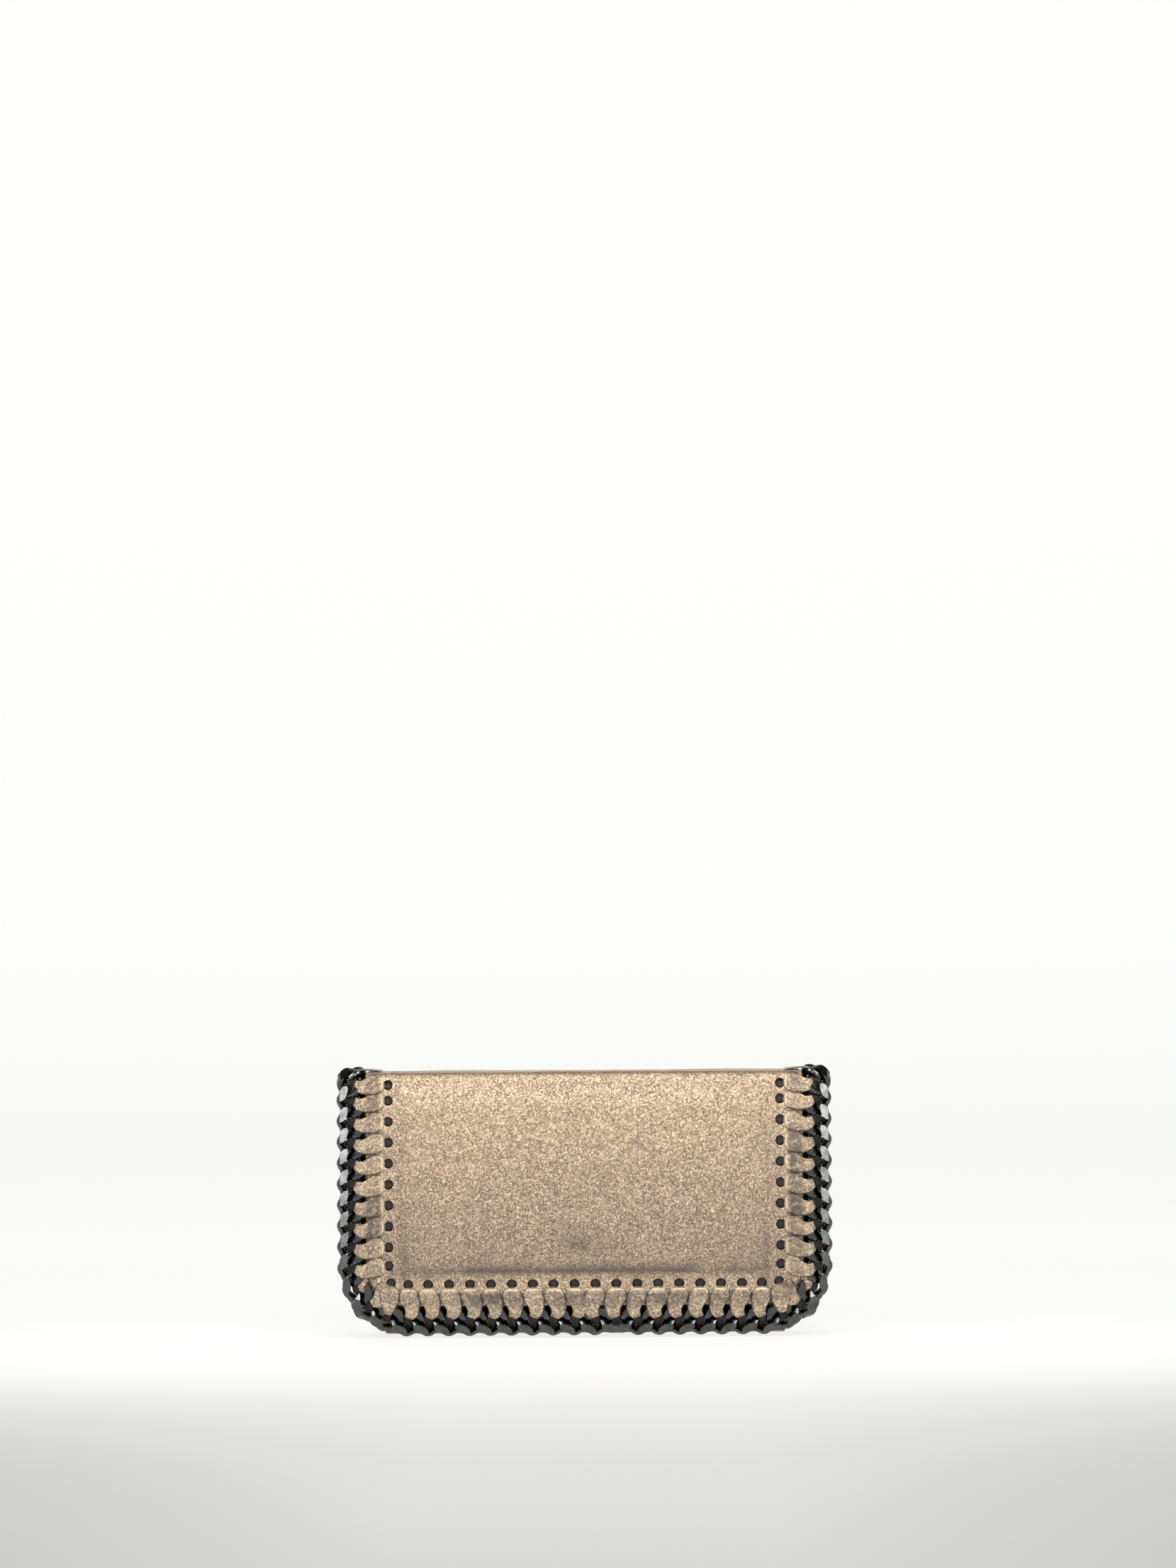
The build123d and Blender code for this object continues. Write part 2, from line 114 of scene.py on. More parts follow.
class Nodes:
    """Builds one node material."""

    def __init__(self, name):
        self.material = bpy.data.materials.new(name)
        self.material.use_nodes = True
        self.tree = self.material.node_tree
        self.shader = self.tree.nodes["Principled BSDF"]
        self.space = self.add("ShaderNodeTexCoord").outputs["Object"]

    def add(self, kind, **settings):
        node = self.tree.nodes.new(kind)
        for key, value in settings.items():
            setattr(node, key, value)
        return node

    def put(self, socket, value):
        if hasattr(value, "is_output"):
            self.tree.links.new(value, socket)
        elif isinstance(value, (tuple, list)) and len(value) == 3 and len(socket.default_value) == 4:
            socket.default_value = (*value, 1.0)
        else:
            socket.default_value = value

    def noise(self, scale, detail=3.0, rough=0.5, space=None, distortion=0.0):
        node = self.add("ShaderNodeTexNoise")
        self.put(node.inputs["Vector"], space or self.space)
        self.put(node.inputs["Scale"], scale)
        self.put(node.inputs["Detail"], detail)
        self.put(node.inputs["Roughness"], rough)
        self.put(node.inputs["Distortion"], distortion)
        return node

    def voronoi(self, scale, feature="F1", space=None):
        node = self.add("ShaderNodeTexVoronoi", feature=feature)
        self.put(node.inputs["Vector"], space or self.space)
        self.put(node.inputs["Scale"], scale)
        return node

    def math(self, operation, a, b=0.5, clamp=False):
        node = self.add("ShaderNodeMath", operation=operation, use_clamp=clamp)
        self.put(node.inputs[0], a)
        self.put(node.inputs[1], b)
        return node.outputs[0]

    def span(self, value, low, high, to_low=0.0, to_high=1.0):
        node = self.add("ShaderNodeMapRange")
        for socket, item in zip(node.inputs, (value, low, high, to_low, to_high)):
            self.put(socket, item)
        return node.outputs[0]

    def ramp(self, value, stops, interpolation="LINEAR"):
        node = self.add("ShaderNodeValToRGB")
        node.color_ramp.interpolation = interpolation
        while len(node.color_ramp.elements) < len(stops):
            node.color_ramp.elements.new(0.5)
        for element, (place, colour) in zip(node.color_ramp.elements, stops):
            element.position = place
            element.color = (*colour, 1.0)
        self.put(node.inputs[0], value)
        return node.outputs[0]

    def mix(self, share, a, b, blend_type="MIX"):
        node = self.add("ShaderNodeMix", data_type="RGBA", blend_type=blend_type)
        self.put(node.inputs[0], share)
        self.put(node.inputs[6], a)
        self.put(node.inputs[7], b)
        return node.outputs[2]

    def scaled_space(self, x, y, z):
        node = self.add("ShaderNodeMapping")
        self.put(node.inputs["Vector"], self.space)
        node.inputs["Scale"].default_value = (x, y, z)
        return node.outputs[0]

    def bump(self, height, strength, distance, normal=None):
        node = self.add("ShaderNodeBump")
        node.inputs["Strength"].default_value = strength
        node.inputs["Distance"].default_value = distance
        self.put(node.inputs["Height"], height)
        if normal is not None:
            self.put(node.inputs["Normal"], normal)
        return node.outputs[0]

    def done(self, colour, roughness, normal=None, **plain):
        self.put(self.shader.inputs["Base Color"], colour)
        self.put(self.shader.inputs["Roughness"], roughness)
        if normal is not None:
            self.put(self.shader.inputs["Normal"], normal)
        for key, value in plain.items():
            self.put(self.shader.inputs[key.replace("_", " ")], value)
        return self.material


def srgb(r, g, b):
    """Linear colour of 0-255 display values."""
    return tuple(((c / 255 + 0.055) / 1.055) ** 2.4 if c > 10 else c / 255 / 12.92 for c in (r, g, b))


def foil_leather(name, seed, metal, wear_and_painted_light_of=""):
    """Cracked rose-gold foil over leather: fine cells of many hues, dark cracks and worn smudges, with painted
    shade added on the flap and painted shade and a painted highlight on the laces.
    """
    n = Nodes(name)
    shift = n.add("ShaderNodeVectorMath", operation="ADD")
    n.put(shift.inputs[0], n.space)
    shift.inputs[1].default_value = (seed * 0.37, seed * 0.11, seed * 0.23)
    space = shift.outputs[0]
    warp = n.noise(700, 3, 0.6, space)
    bent = n.add("ShaderNodeVectorMath", operation="MULTIPLY_ADD")
    n.put(bent.inputs[0], warp.outputs["Color"])
    bent.inputs[1].default_value = (0.0012, 0.0012, 0.0012)
    n.put(bent.inputs[2], space)
    cells = n.voronoi(1900, "F1", bent.outputs[0])
    parts = n.add("ShaderNodeSeparateColor")
    n.put(parts.inputs[0], cells.outputs["Color"])
    hues = n.ramp(parts.outputs[0], [
        (0.0, srgb(255, 240, 206)), (0.14, srgb(240, 206, 166)), (0.28, srgb(150, 134, 110)),
        (0.42, srgb(236, 206, 172)), (0.56, srgb(138, 124, 122)), (0.70, srgb(226, 208, 168)),
        (0.84, srgb(150, 128, 112)), (1.0, srgb(244, 212, 182))])
    specks = n.noise(2000, 4, 0.78, space)
    clouds = n.noise(150, 4, 0.6, space)
    density = n.span(clouds.outputs[0], 0.38, 0.62, 0.45, 1.0)
    dark = n.math("MULTIPLY", n.span(specks.outputs[0], 0.48, 0.58, 0.0, 0.95), density)
    hues = n.mix(dark, hues, srgb(98, 86, 82))
    blots = n.noise(1050, 4, 0.75, space, 0.6)
    hues = n.mix(n.span(blots.outputs[0], 0.52, 0.64, 0.0, 0.6), hues, srgb(132, 118, 104))
    hues = n.mix(n.span(blots.outputs[0], 0.46, 0.36, 0.0, 0.6), hues, srgb(252, 228, 190))
    cracks = n.voronoi(800, "DISTANCE_TO_EDGE", bent.outputs[0])
    crack = n.span(cracks.outputs["Distance"], 0.0, 0.1, 1.0, 0.0)
    crack = n.math("MULTIPLY", crack, n.span(blots.outputs[0], 0.35, 0.6, 0.1, 0.8))
    hues = n.mix(n.math("MULTIPLY", crack, 0.6), hues, srgb(96, 82, 72))
    worn_and_painted_light = n.noise(42, 5, 0.6, space, 0.4)
    wear_and_painted_light = n.span(worn_and_painted_light.outputs[0], 0.54, 0.72, 0.0, 0.35)
    # On the flap, painted shade joins the wear: the foil darker low down, along the pad's edges and across the
    # fold.
    if wear_and_painted_light_of == "panel":
        wear_and_painted_light = n.math("MAXIMUM", wear_and_painted_light, panel_smudges_and_painted_shade(n, specks.outputs[0], worn_and_painted_light.outputs[0]))
    if wear_and_painted_light_of == "laces":
        middle = n.add("ShaderNodeAttribute", attribute_name="worn_and_painted_light")
        patches = n.noise(420, 3, 0.6, space)
        rubbed = n.math("MINIMUM", middle.outputs["Fac"], 1.0)
        rubbed = n.math("MULTIPLY", rubbed, n.span(patches.outputs[0], 0.36, 0.54, 0.35, 0.95))
        wear_and_painted_light = n.math("MAXIMUM", wear_and_painted_light, rubbed)
        # Painted shade along the laces' edges, where the gaps between them lie in shade; partly their dark cut
        # edges.
        edge_painted_shade = n.span(middle.outputs["Fac"], 1.5, 2.0, 0.0, 0.7)
    # Darkens the foil by wear and, on the flap and the laces, by painted shade.
    hues = n.mix(wear_and_painted_light, hues, srgb(92, 82, 76))
    if wear_and_painted_light_of == "laces":
        hues = n.mix(edge_painted_shade, hues, srgb(62, 48, 40))
        # Painted highlight: a bright crescent where each lace bends up out of its hole.
        hues = n.mix(n.span(middle.outputs["Fac"], -0.3, -1.0, 0.0, 0.8), hues, srgb(255, 236, 206))
    rough = n.span(specks.outputs[0], 0.3, 0.7, 0.36, 0.56)
    height = n.math("ADD", n.math("MULTIPLY", parts.outputs[1], 0.5), n.math("MULTIPLY", crack, -0.8))
    height = n.math("ADD", height, n.math("MULTIPLY", specks.outputs[0], 0.7))
    normal = n.bump(height, 0.9, 0.0002)
    normal = n.bump(worn_and_painted_light.outputs[0], 0.25, 0.0008, normal)
    return n.done(hues, rough, normal, Metallic=metal)


def panel_smudges_and_painted_shade(n, fine, broad):
    """Darkening of the flap's foil: painted shade low down, along the pad's lower and side edges and across the
    top of the fold, and a darker patch under the pad's middle.
    """
    parts = n.add("ShaderNodeSeparateXYZ")
    n.put(parts.inputs[0], n.space)
    across = n.math("ABSOLUTE", parts.outputs[0])
    height = parts.outputs[2]
    inside = n.span(across, 0.073, 0.068)
    # Painted shade along the pad's lower edge and, low down, along its sides, where its rise turns away from the
    # light.
    low_edge = n.math("MULTIPLY", n.span(height, 0.0222, 0.0245), n.span(height, 0.0310, 0.0250))
    low_edge = n.math("MULTIPLY", low_edge, inside)
    side_edge = n.math("MULTIPLY", n.span(across, 0.064, 0.0695), n.span(across, 0.0735, 0.0705))
    side_edge = n.math("MULTIPLY", side_edge, n.span(height, 0.055, 0.028))
    patch = n.math("MULTIPLY", n.span(across, 0.017, 0.001), n.span(height, 0.046, 0.037))
    patch = n.math("MULTIPLY", patch, n.span(height, 0.026, 0.034))
    marks_and_painted_shade = n.math("MAXIMUM", n.math("MULTIPLY", low_edge, 0.85), n.math("MULTIPLY", side_edge, 0.75))
    marks_and_painted_shade = n.math("MAXIMUM", marks_and_painted_shade, n.math("MULTIPLY", patch, 0.85))
    marks_and_painted_shade = n.math("MULTIPLY", marks_and_painted_shade, n.span(broad, 0.36, 0.52, 0.5, 1.0))
    # Painted shade: the foil darker towards the bottom, as the light falls off there.
    low_painted_shade = n.math("MULTIPLY", n.span(height, 0.096, 0.025, 0.0, 0.7), n.span(fine, 0.42, 0.56, 0.2, 1.0))
    low_painted_shade = n.math("MULTIPLY", low_painted_shade, n.span(height, 0.0210, 0.0245, 0.25, 1.0))
    # Painted shade along the top of the fold, which turns away from the light.
    fold = n.math("MULTIPLY", n.span(height, 0.1006, 0.1012), n.span(parts.outputs[1], -0.0118, -0.0126))
    marks_and_painted_shade = n.math("MAXIMUM", marks_and_painted_shade, n.math("MULTIPLY", fold, 0.55))
    return n.math("MAXIMUM", marks_and_painted_shade, low_painted_shade)


def plain_leather(name, colour, dark, grain=900.0):
    """Soft pebbled leather."""
    n = Nodes(name)
    pebbles = n.voronoi(grain, "F1")
    tone = n.noise(90, 5, 0.6)
    fine = n.noise(grain * 2.2, 3, 0.6)
    hue = n.mix(n.span(tone.outputs[0], 0.35, 0.7), colour, dark)
    hue = n.mix(n.span(pebbles.outputs["Distance"], 0.35, 0.8, 0.0, 0.45), hue, dark)
    height = n.math("ADD", n.math("MULTIPLY", pebbles.outputs["Distance"], -1.0),
                    n.math("MULTIPLY", fine.outputs[0], 0.4))
    rough = n.span(fine.outputs[0], 0.3, 0.7, 0.48, 0.66)
    return n.done(hue, rough, n.bump(height, 0.5, 0.00014))


def woven(name, colour, dark, pitch=0.00042):
    """Plain weave: two crossing sets of threads."""
    n = Nodes(name)
    count = 1 / pitch
    parts = n.add("ShaderNodeSeparateXYZ")
    n.put(parts.inputs[0], n.space)
    over = n.math("SINE", n.math("MULTIPLY", n.math("ADD", parts.outputs[0], parts.outputs[1]), count * math.pi))
    under = n.math("SINE", n.math("MULTIPLY", parts.outputs[2], count * math.pi))
    weave = n.math("MULTIPLY", over, under)
    height = n.math("ADD", n.math("ABSOLUTE", over), n.math("ABSOLUTE", under))
    tone = n.noise(300, 4, 0.6)
    hue = n.mix(n.span(weave, -1.0, 1.0), dark, colour)
    hue = n.mix(n.span(tone.outputs[0], 0.3, 0.75, 0.0, 0.35), hue, dark)
    return n.done(hue, n.span(tone.outputs[0], 0.3, 0.7, 0.7, 0.9), n.bump(height, 0.45, 0.00012),
                  Sheen_Weight=0.25)


def card_board(name):
    n = Nodes(name)
    fibre = n.noise(600, 5, 0.7, n.scaled_space(1, 1, 0.2))
    hue = n.mix(n.span(fibre.outputs[0], 0.35, 0.65), srgb(176, 150, 118), srgb(146, 122, 96))
    return n.done(hue, 0.85, n.bump(fibre.outputs[0], 0.3, 0.0001))


def polished_metal(name, colour, dark, rough_low, rough_high):
    """Plated metal with faint brushing, fine scratches and tarnish."""
    n = Nodes(name)
    tarnish = n.noise(260, 5, 0.6)
    scratches = n.noise(900, 4, 0.7, n.scaled_space(1, 1, 6))
    hue = n.mix(n.span(tarnish.outputs[0], 0.35, 0.7), colour, dark)
    rough = n.math("ADD", n.span(tarnish.outputs[0], 0.3, 0.7, rough_low, rough_high),
                   n.span(scratches.outputs[0], 0.5, 0.75, 0.0, 0.08))
    return n.done(hue, rough, n.bump(scratches.outputs[0], 0.12, 0.00004), Metallic=1.0)


def thread(name, colour, dark):
    n = Nodes(name)
    twist = n.add("ShaderNodeTexWave", bands_direction="DIAGONAL")
    n.put(twist.inputs["Vector"], n.space)
    twist.inputs["Scale"].default_value = 900
    twist.inputs["Distortion"].default_value = 1.0
    hue = n.mix(twist.outputs["Fac"], dark, colour)
    return n.done(hue, 0.75, n.bump(twist.outputs["Fac"], 0.5, 0.00008))


FLAP_FOIL = foil_leather("flap_foil_leather_with_painted_shade", 1.0, 0.6, "panel")
FOIL = foil_leather("foil_leather", 2.0, 0.6)
LACE_FOIL = foil_leather("lace_foil_leather_with_painted_light", 4.0, 0.5, "laces")
TAUPE = plain_leather("taupe_leather", srgb(168, 146, 126), srgb(126, 106, 90))
POCKET_LEATHER = plain_leather("pocket_leather", srgb(188, 166, 144), srgb(150, 128, 110), 1100)
LINING = woven("lining_cloth", srgb(176, 156, 138), srgb(128, 110, 96))
TAPE = woven("zip_tape_cloth", srgb(122, 106, 94), srgb(84, 72, 64), 0.0006)
BOARD = card_board("card_board")
# Near-black raw edge colour; also painted shade on the laces' runs inside the links' eyes and on their roots in
# the holes.
RAW_EDGE_AND_PAINTED_SHADE = plain_leather("raw_edge_and_painted_shade_leather", srgb(34, 24, 18), srgb(16, 11, 8), 1300)
GUNMETAL = polished_metal("gunmetal", (0.115, 0.119, 0.116), (0.06, 0.064, 0.062), 0.1, 0.2)
FITTING = polished_metal("fitting_metal", (0.30, 0.29, 0.28), (0.17, 0.165, 0.16), 0.2, 0.36)
THREAD = thread("sewing_thread", srgb(196, 176, 152), srgb(140, 120, 100))


# ---- mesh building -----------------------------------------------------------------------------------

def new_object(name, verts, faces, material, slot, crease=38.0):
    """Mesh object from points in millimetres."""
    mesh = bpy.data.meshes.new(name)
    mesh.from_pydata((np.asarray(verts, float) * MM).tolist(), [], faces)
    work = bmesh.new()
    work.from_mesh(mesh)
    bmesh.ops.recalc_face_normals(work, faces=work.faces)
    work.to_mesh(mesh)
    work.free()
    obj = bpy.data.objects.new(name, mesh)
    bpy.context.scene.collection.objects.link(obj)
    mesh.materials.append(material)
    mesh.shade_smooth()
    mesh.set_sharp_from_angle(angle=math.radians(crease))
    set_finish(obj, slot)
    return obj


def joined(parts):
    """Points and faces of several meshes as one."""
    verts, faces, base = [], [], 0
    for part_verts, part_faces in parts:
        verts.append(np.asarray(part_verts, float))
        faces.extend([tuple(i + base for i in face) for face in part_faces])
        base += len(part_verts)
    return np.concatenate(verts), faces


def solid_sheet(outer, inner, bulge):
    """Closed solid between two grids of points, with a rounded rim; bulge is a grid of rim widths."""
    rows, cols = outer.shape[:2]
    ring = ([(0, c) for c in range(cols)] + [(r, cols - 1) for r in range(1, rows)]
            + [(rows - 1, c) for c in range(cols - 2, -1, -1)] + [(r, 0) for r in range(rows - 2, 0, -1)])
    mid, half = (outer + inner) / 2, (outer - inner) / 2
    size = rows * cols
    verts = [outer.reshape(-1, 3), inner.reshape(-1, 3)]
    faces = []
    for r in range(rows - 1):
        for c in range(cols - 1):
            a = r * cols + c
            faces.append((a, a + 1, a + cols + 1, a + cols))
            faces.append((size + a, size + a + cols, size + a + cols + 1, size + a + 1))
    loops = [[r * cols + c for r, c in ring]]
    base = 2 * size
    for turn in (45, 90, 135):
        points = []
        for r, c in ring:
            away = mid[r, c] - mid[min(max(r, 1), rows - 2), min(max(c, 1), cols - 2)]
            away = away / (np.linalg.norm(away) + 1e-9)
            angle = math.radians(turn)
            points.append(mid[r, c] + half[r, c] * math.cos(angle) + away * bulge[r, c] * math.sin(angle))
        verts.append(np.array(points))
        loops.append(list(range(base, base + len(ring))))
        base += len(ring)
    loops.append([size + r * cols + c for r, c in ring])
    for first, second in zip(loops, loops[1:]):
        for i in range(len(ring)):
            j = (i + 1) % len(ring)
            faces.append((first[i], first[j], second[j], second[i]))
    return np.concatenate(verts), faces


def cut(obj, cutter_parts):
    """Cuts a set of separate closed meshes out of obj."""
    verts, faces = joined(cutter_parts)
    cutter = new_object(obj.name + "_cutter", verts, faces, RAW_EDGE_AND_PAINTED_SHADE, obj["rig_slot"])
    cutter.data.polygons.foreach_set("material_index", [1] * len(faces))
    obj.data.materials.append(RAW_EDGE_AND_PAINTED_SHADE)
    step = obj.modifiers.new("holes", "BOOLEAN")
    step.object, step.operation, step.solver = cutter, "DIFFERENCE", "MANIFOLD"
    graph = bpy.context.evaluated_depsgraph_get()
    mesh = bpy.data.meshes.new_from_object(obj.evaluated_get(graph))
    obj.modifiers.clear()
    obj.data = mesh
    bpy.data.objects.remove(cutter)
    mesh.shade_smooth()
    mesh.set_sharp_from_angle(angle=math.radians(50))


def rod(centre, x_axis, y_axis, z_axis, rx, ry, half_length, count=20):
    """Oval rod about z_axis."""
    turns = [2 * math.pi * i / count for i in range(count)]
    ring = [centre + x_axis * rx * math.cos(t) + y_axis * ry * math.sin(t) for t in turns]
    low = [p - z_axis * half_length for p in ring]
    high = [p + z_axis * half_length for p in ring]
    faces = [tuple(range(count))[::-1], tuple(range(count, 2 * count))]
    faces += [(i, (i + 1) % count, count + (i + 1) % count, count + i) for i in range(count)]
    return np.array(low + high), faces


def smooth(value):
    value = np.clip(value, 0.0, 1.0)
    return value * value * (3 - 2 * value)


# ---- the chain's line --------------------------------------------------------------------------------

def edge_point(s, low, radius):
    """Point and direction at arc length s along the chain's U-shaped line, s = 0 at the middle of the bottom."""
    side = 1 if s >= 0 else -1
    flat, arc, run = CHAIN_X - radius, radius * math.pi / 2, abs(s)
    if run <= flat:
        return (side * run, low), (1, 0)
    if run <= flat + arc:
        turn = (run - flat) / radius
        return ((side * (flat + radius * math.sin(turn)), low + radius * (1 - math.cos(turn))),
                (math.cos(turn), side * math.sin(turn)))
    return (side * CHAIN_X, low + radius + run - flat - arc), (0, side)


def link_places(low, radius):
    reach = (CHAIN_X - radius) + radius * math.pi / 2 + (FOLD_Z - low - radius) - FOLD_SKIP
    pitch = 2 * reach / (LINKS - 1)
    return [(i - LINKS // 2, (i - (LINKS - 1) / 2) * pitch) for i in range(LINKS)]


class Place:
    """Local frame of a link: x along the chain, y towards the panel's middle, z out of its face."""

    def __init__(self, origin, x_axis, z_axis):
        self.origin = np.array(origin, float)
        self.x = np.array(x_axis, float) / np.linalg.norm(x_axis)
        self.z = np.array(z_axis, float) / np.linalg.norm(z_axis)
        self.y = np.cross(self.z, self.x)

    def put(self, points):
        points = np.asarray(points, float)
        return self.origin + np.outer(points[:, 0], self.x) + np.outer(points[:, 1], self.y) \
            + np.outer(points[:, 2], self.z)

    def point(self, x, y, z):
        return self.origin + self.x * x + self.y * y + self.z * z


def edge_place(s, low, radius, y, face):
    (x, z), (dx, dz) = edge_point(s, low, radius)
    return Place((x, y, z), (-face * dx, 0, -face * dz), (0, face, 0))


def fold_place(y_side, x_side):
    inset, turn = FOLD_INSET / math.sqrt(2), math.sqrt(0.5)
    middle = (x_side * CHAIN_X, y_side * (MID_Y - inset), FOLD_Z - inset)
    return Place(middle, (0, x_side * turn, -x_side * y_side * turn), (0, y_side * turn, turn))


def spine_place(y, x_side):
    return Place((x_side * CHAIN_X, y, FOLD_Z), (0, x_side, 0), (0, 0, 1))


# ---- chain links -------------------------------------------------------------------------------------

def link_mesh(tilt_a, tilt_b, ground):
    """Twisted ring of drawn wire with ground faces and diamond-cut flanks, in a link's own frame."""
    reach, blend_x, sides = LINK_HALF - END_R, 2.7, 14
    outline = []
    for i in range(16):
        turn = math.radians(-90 + 180 * i / 15)
        outline.append((reach + END_R * math.cos(turn), END_R * math.sin(turn), math.cos(turn), math.sin(turn)))
    for share in (0.25, 0.5, 0.75):
        outline.append((reach - 2 * reach * share, END_R, 0.0, 1.0))
    outline += [(-x, -y, -nx, -ny) for x, y, nx, ny in outline]
    path, normal = [], []
    for x, y, nx, ny in outline:
        share = float(smooth((x + blend_x) / (2 * blend_x)))
        turn = math.radians(tilt_a + (tilt_b - tilt_a) * share)
        path.append((x, y * math.cos(turn), y * math.sin(turn)))
        normal.append((nx, ny * math.cos(turn), ny * math.sin(turn)))
    path, normal = np.array(path), np.array(normal)
    along = np.roll(path, -1, 0) - np.roll(path, 1, 0)
    along /= np.linalg.norm(along, axis=1)[:, None]
    normal -= along * (normal * along).sum(1)[:, None]
    normal /= np.linalg.norm(normal, axis=1)[:, None]
    across = np.cross(along, normal)
    verts = []
    for k in range(len(path)):
        for i in range(sides):
            turn = 2 * math.pi * (i + 0.5) / sides
            wide, thick = (abs(w) ** 0.8 * math.copysign(1, w) for w in (math.cos(turn), math.sin(turn)))
            verts.append(path[k] + WIRE_WIDE * wide * normal[k] + WIRE_THICK * thick * across[k])
    faces = []
    for k in range(len(path)):
        after = (k + 1) % len(path)
        for i in range(sides):
            j = (i + 1) % sides
            faces.append((k * sides + i, k * sides + j, after * sides + j, after * sides + i))
    work = bmesh.new()
    points = [work.verts.new(v) for v in verts]
    for face in faces:
        work.faces.new([points[i] for i in face])
    lean, flank = math.radians(8), math.radians(52)
    cuts = []
    for side in (1, -1):
        for sign in (1, -1):
            cuts.append(((0, side * math.sin(lean), sign * math.cos(lean)),
                         3.5 * math.sin(lean) + ground * math.cos(lean)))
            cuts.append(((0, side * math.sin(flank), sign * math.cos(flank)), 4.95))
    for plane, distance in cuts:
        plane = Vector(plane)
        bmesh.ops.bisect_plane(work, geom=work.verts[:] + work.edges[:] + work.faces[:], dist=1e-5,
                               plane_co=plane * distance, plane_no=plane)
        for v in work.verts:
            over = v.co.dot(plane) - distance
            if over > 0:
                v.co -= plane * over
    bmesh.ops.remove_doubles(work, verts=work.verts, dist=1e-4)
    work.verts.index_update()
    verts = np.array([v.co[:] for v in work.verts])
    faces = [tuple(v.index for v in f.verts) for f in work.faces]
    work.free()
    return verts, faces


LEFT_LINK = link_mesh(-END_TILT, END_TILT, GROUND)
RIGHT_LINK = link_mesh(END_TILT, -END_TILT, GROUND)
JOINING_LINKS = {face: link_mesh(face * END_TILT, face * END_TILT, GROUND + 0.1) for face in (-1, 1)}


def placed(place, part):
    return place.put(part[0]), part[1]


def edge_groups(low, radius, y, face):
    groups = {"left": [], "bottom": [], "right": [], "joining": []}
    for index, s in link_places(low, radius):
        place = edge_place(s, low, radius, y, face)
        if index == JOINING_INDEX:
            groups["joining"].append(placed(place, JOINING_LINKS[face]))
            continue
        side = "bottom" if abs(s) < CHAIN_X - radius + 2 else ("left" if s < 0 else "right")
        groups[side].append(placed(place, LEFT_LINK if index < JOINING_INDEX else RIGHT_LINK))
    return groups


def make_chain(name, parts, node):
    verts, faces = joined(parts)
    obj = new_object(name, verts, faces, GUNMETAL, "chain_metal", 20.0)
    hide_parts(node)
    return obj


def half_turn(obj, a, b, centre):
    """Bakes the piece's placement into its mesh; it is not turned."""
    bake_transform(obj)


for side_y, body, low, radius in ((-1, "flap", FLAP_LOW, FLAP_R), (1, "body", BACK_LOW, BACK_R)):
    word = "flap" if side_y < 0 else "back"
    groups = edge_groups(low, radius, side_y * MID_Y, side_y)
    for side in ("left", "bottom", "right"):
        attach(make_chain(f"{word}_curb_chain_{side}", groups[side], f"{word}_chain_{side}"), body)
    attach(make_chain(f"{word}_curb_joining_link", groups["joining"], f"{word}_chain_joining_link"), body)

SPINE_YS = (-(MID_Y - FOLD_SKIP), MID_Y - FOLD_SKIP)
for side_x, side in ((-1, "left"), (1, "right")):
    hand = LEFT_LINK if side_x < 0 else RIGHT_LINK
    parts = [placed(spine_place(y, side_x), hand) for y in SPINE_YS]
    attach(make_chain(f"spine_curb_chain_{side}", parts, f"spine_chain_{side}"), "spine")
for side_y, word, pair in ((-1, "front", ("spine", "flap")), (1, "rear", ("body", "spine"))):
    parts = [placed(fold_place(side_y, -1), LEFT_LINK), placed(fold_place(side_y, 1), RIGHT_LINK)]
    obj = make_chain(f"fold_curb_links_{word}", parts, f"fold_chain_{word}")
    half_turn(obj, *pair, (0, side_y * MID_Y, FOLD_Z))


# ---- laces -------------------------------------------------------------------------------------------

FRONT_RUN = [                # inset from the chain's line, height over the panel's middle, half width
    (12.75, -0.2, 1.2), (12.6, 0.8, 1.4), (12.3, 1.75, 2.0), (11.85, 2.2, 2.9), (11.1, 2.4, 3.75),
    (10.2, 2.5, 4.1), (8.9, 2.65, 4.2), (7.6, 2.8, 4.15), (6.4, 2.95, 3.95), (5.2, 3.05, 3.5),
    (4.1, 3.05, 2.9), (3.1, 2.9, 2.4), (2.2, 2.6, 2.0), (1.4, 2.0, 1.75), (0.4, 1.2, 1.75),
    (-0.8, 0.6, 1.75), (-1.7, 0.25, 1.6)]
BACK_RUN = [(u, -v, min(w, 2.6)) for u, v, w in reversed(FRONT_RUN[1:])]
PAINTED_SHADE_INSET = 1.5              # nearer to the chain's line than this, a lace takes the dark raw-edge colour as painted shade inside the link's eye
ROOT_SIDES = 14              # of the lace's folded root, which fills its hole
LACE_SECTION = [(-1.0, -0.02), (-0.97, 0.22), (-0.84, 0.31), (-0.4, 0.34), (0.0, 0.36), (0.4, 0.34), (0.84, 0.31),
                (0.97, 0.22), (1.0, -0.02),
                (0.8, -0.24), (0.3, -0.32), (-0.3, -0.32), (-0.8, -0.24)]


LACE_WEAR_AND_PAINTED_LIGHT = []               # per point of the laces not yet joined: up to 1 worn, 2 painted shade along the cut edges, -1 painted highlight on the bend out of the hole
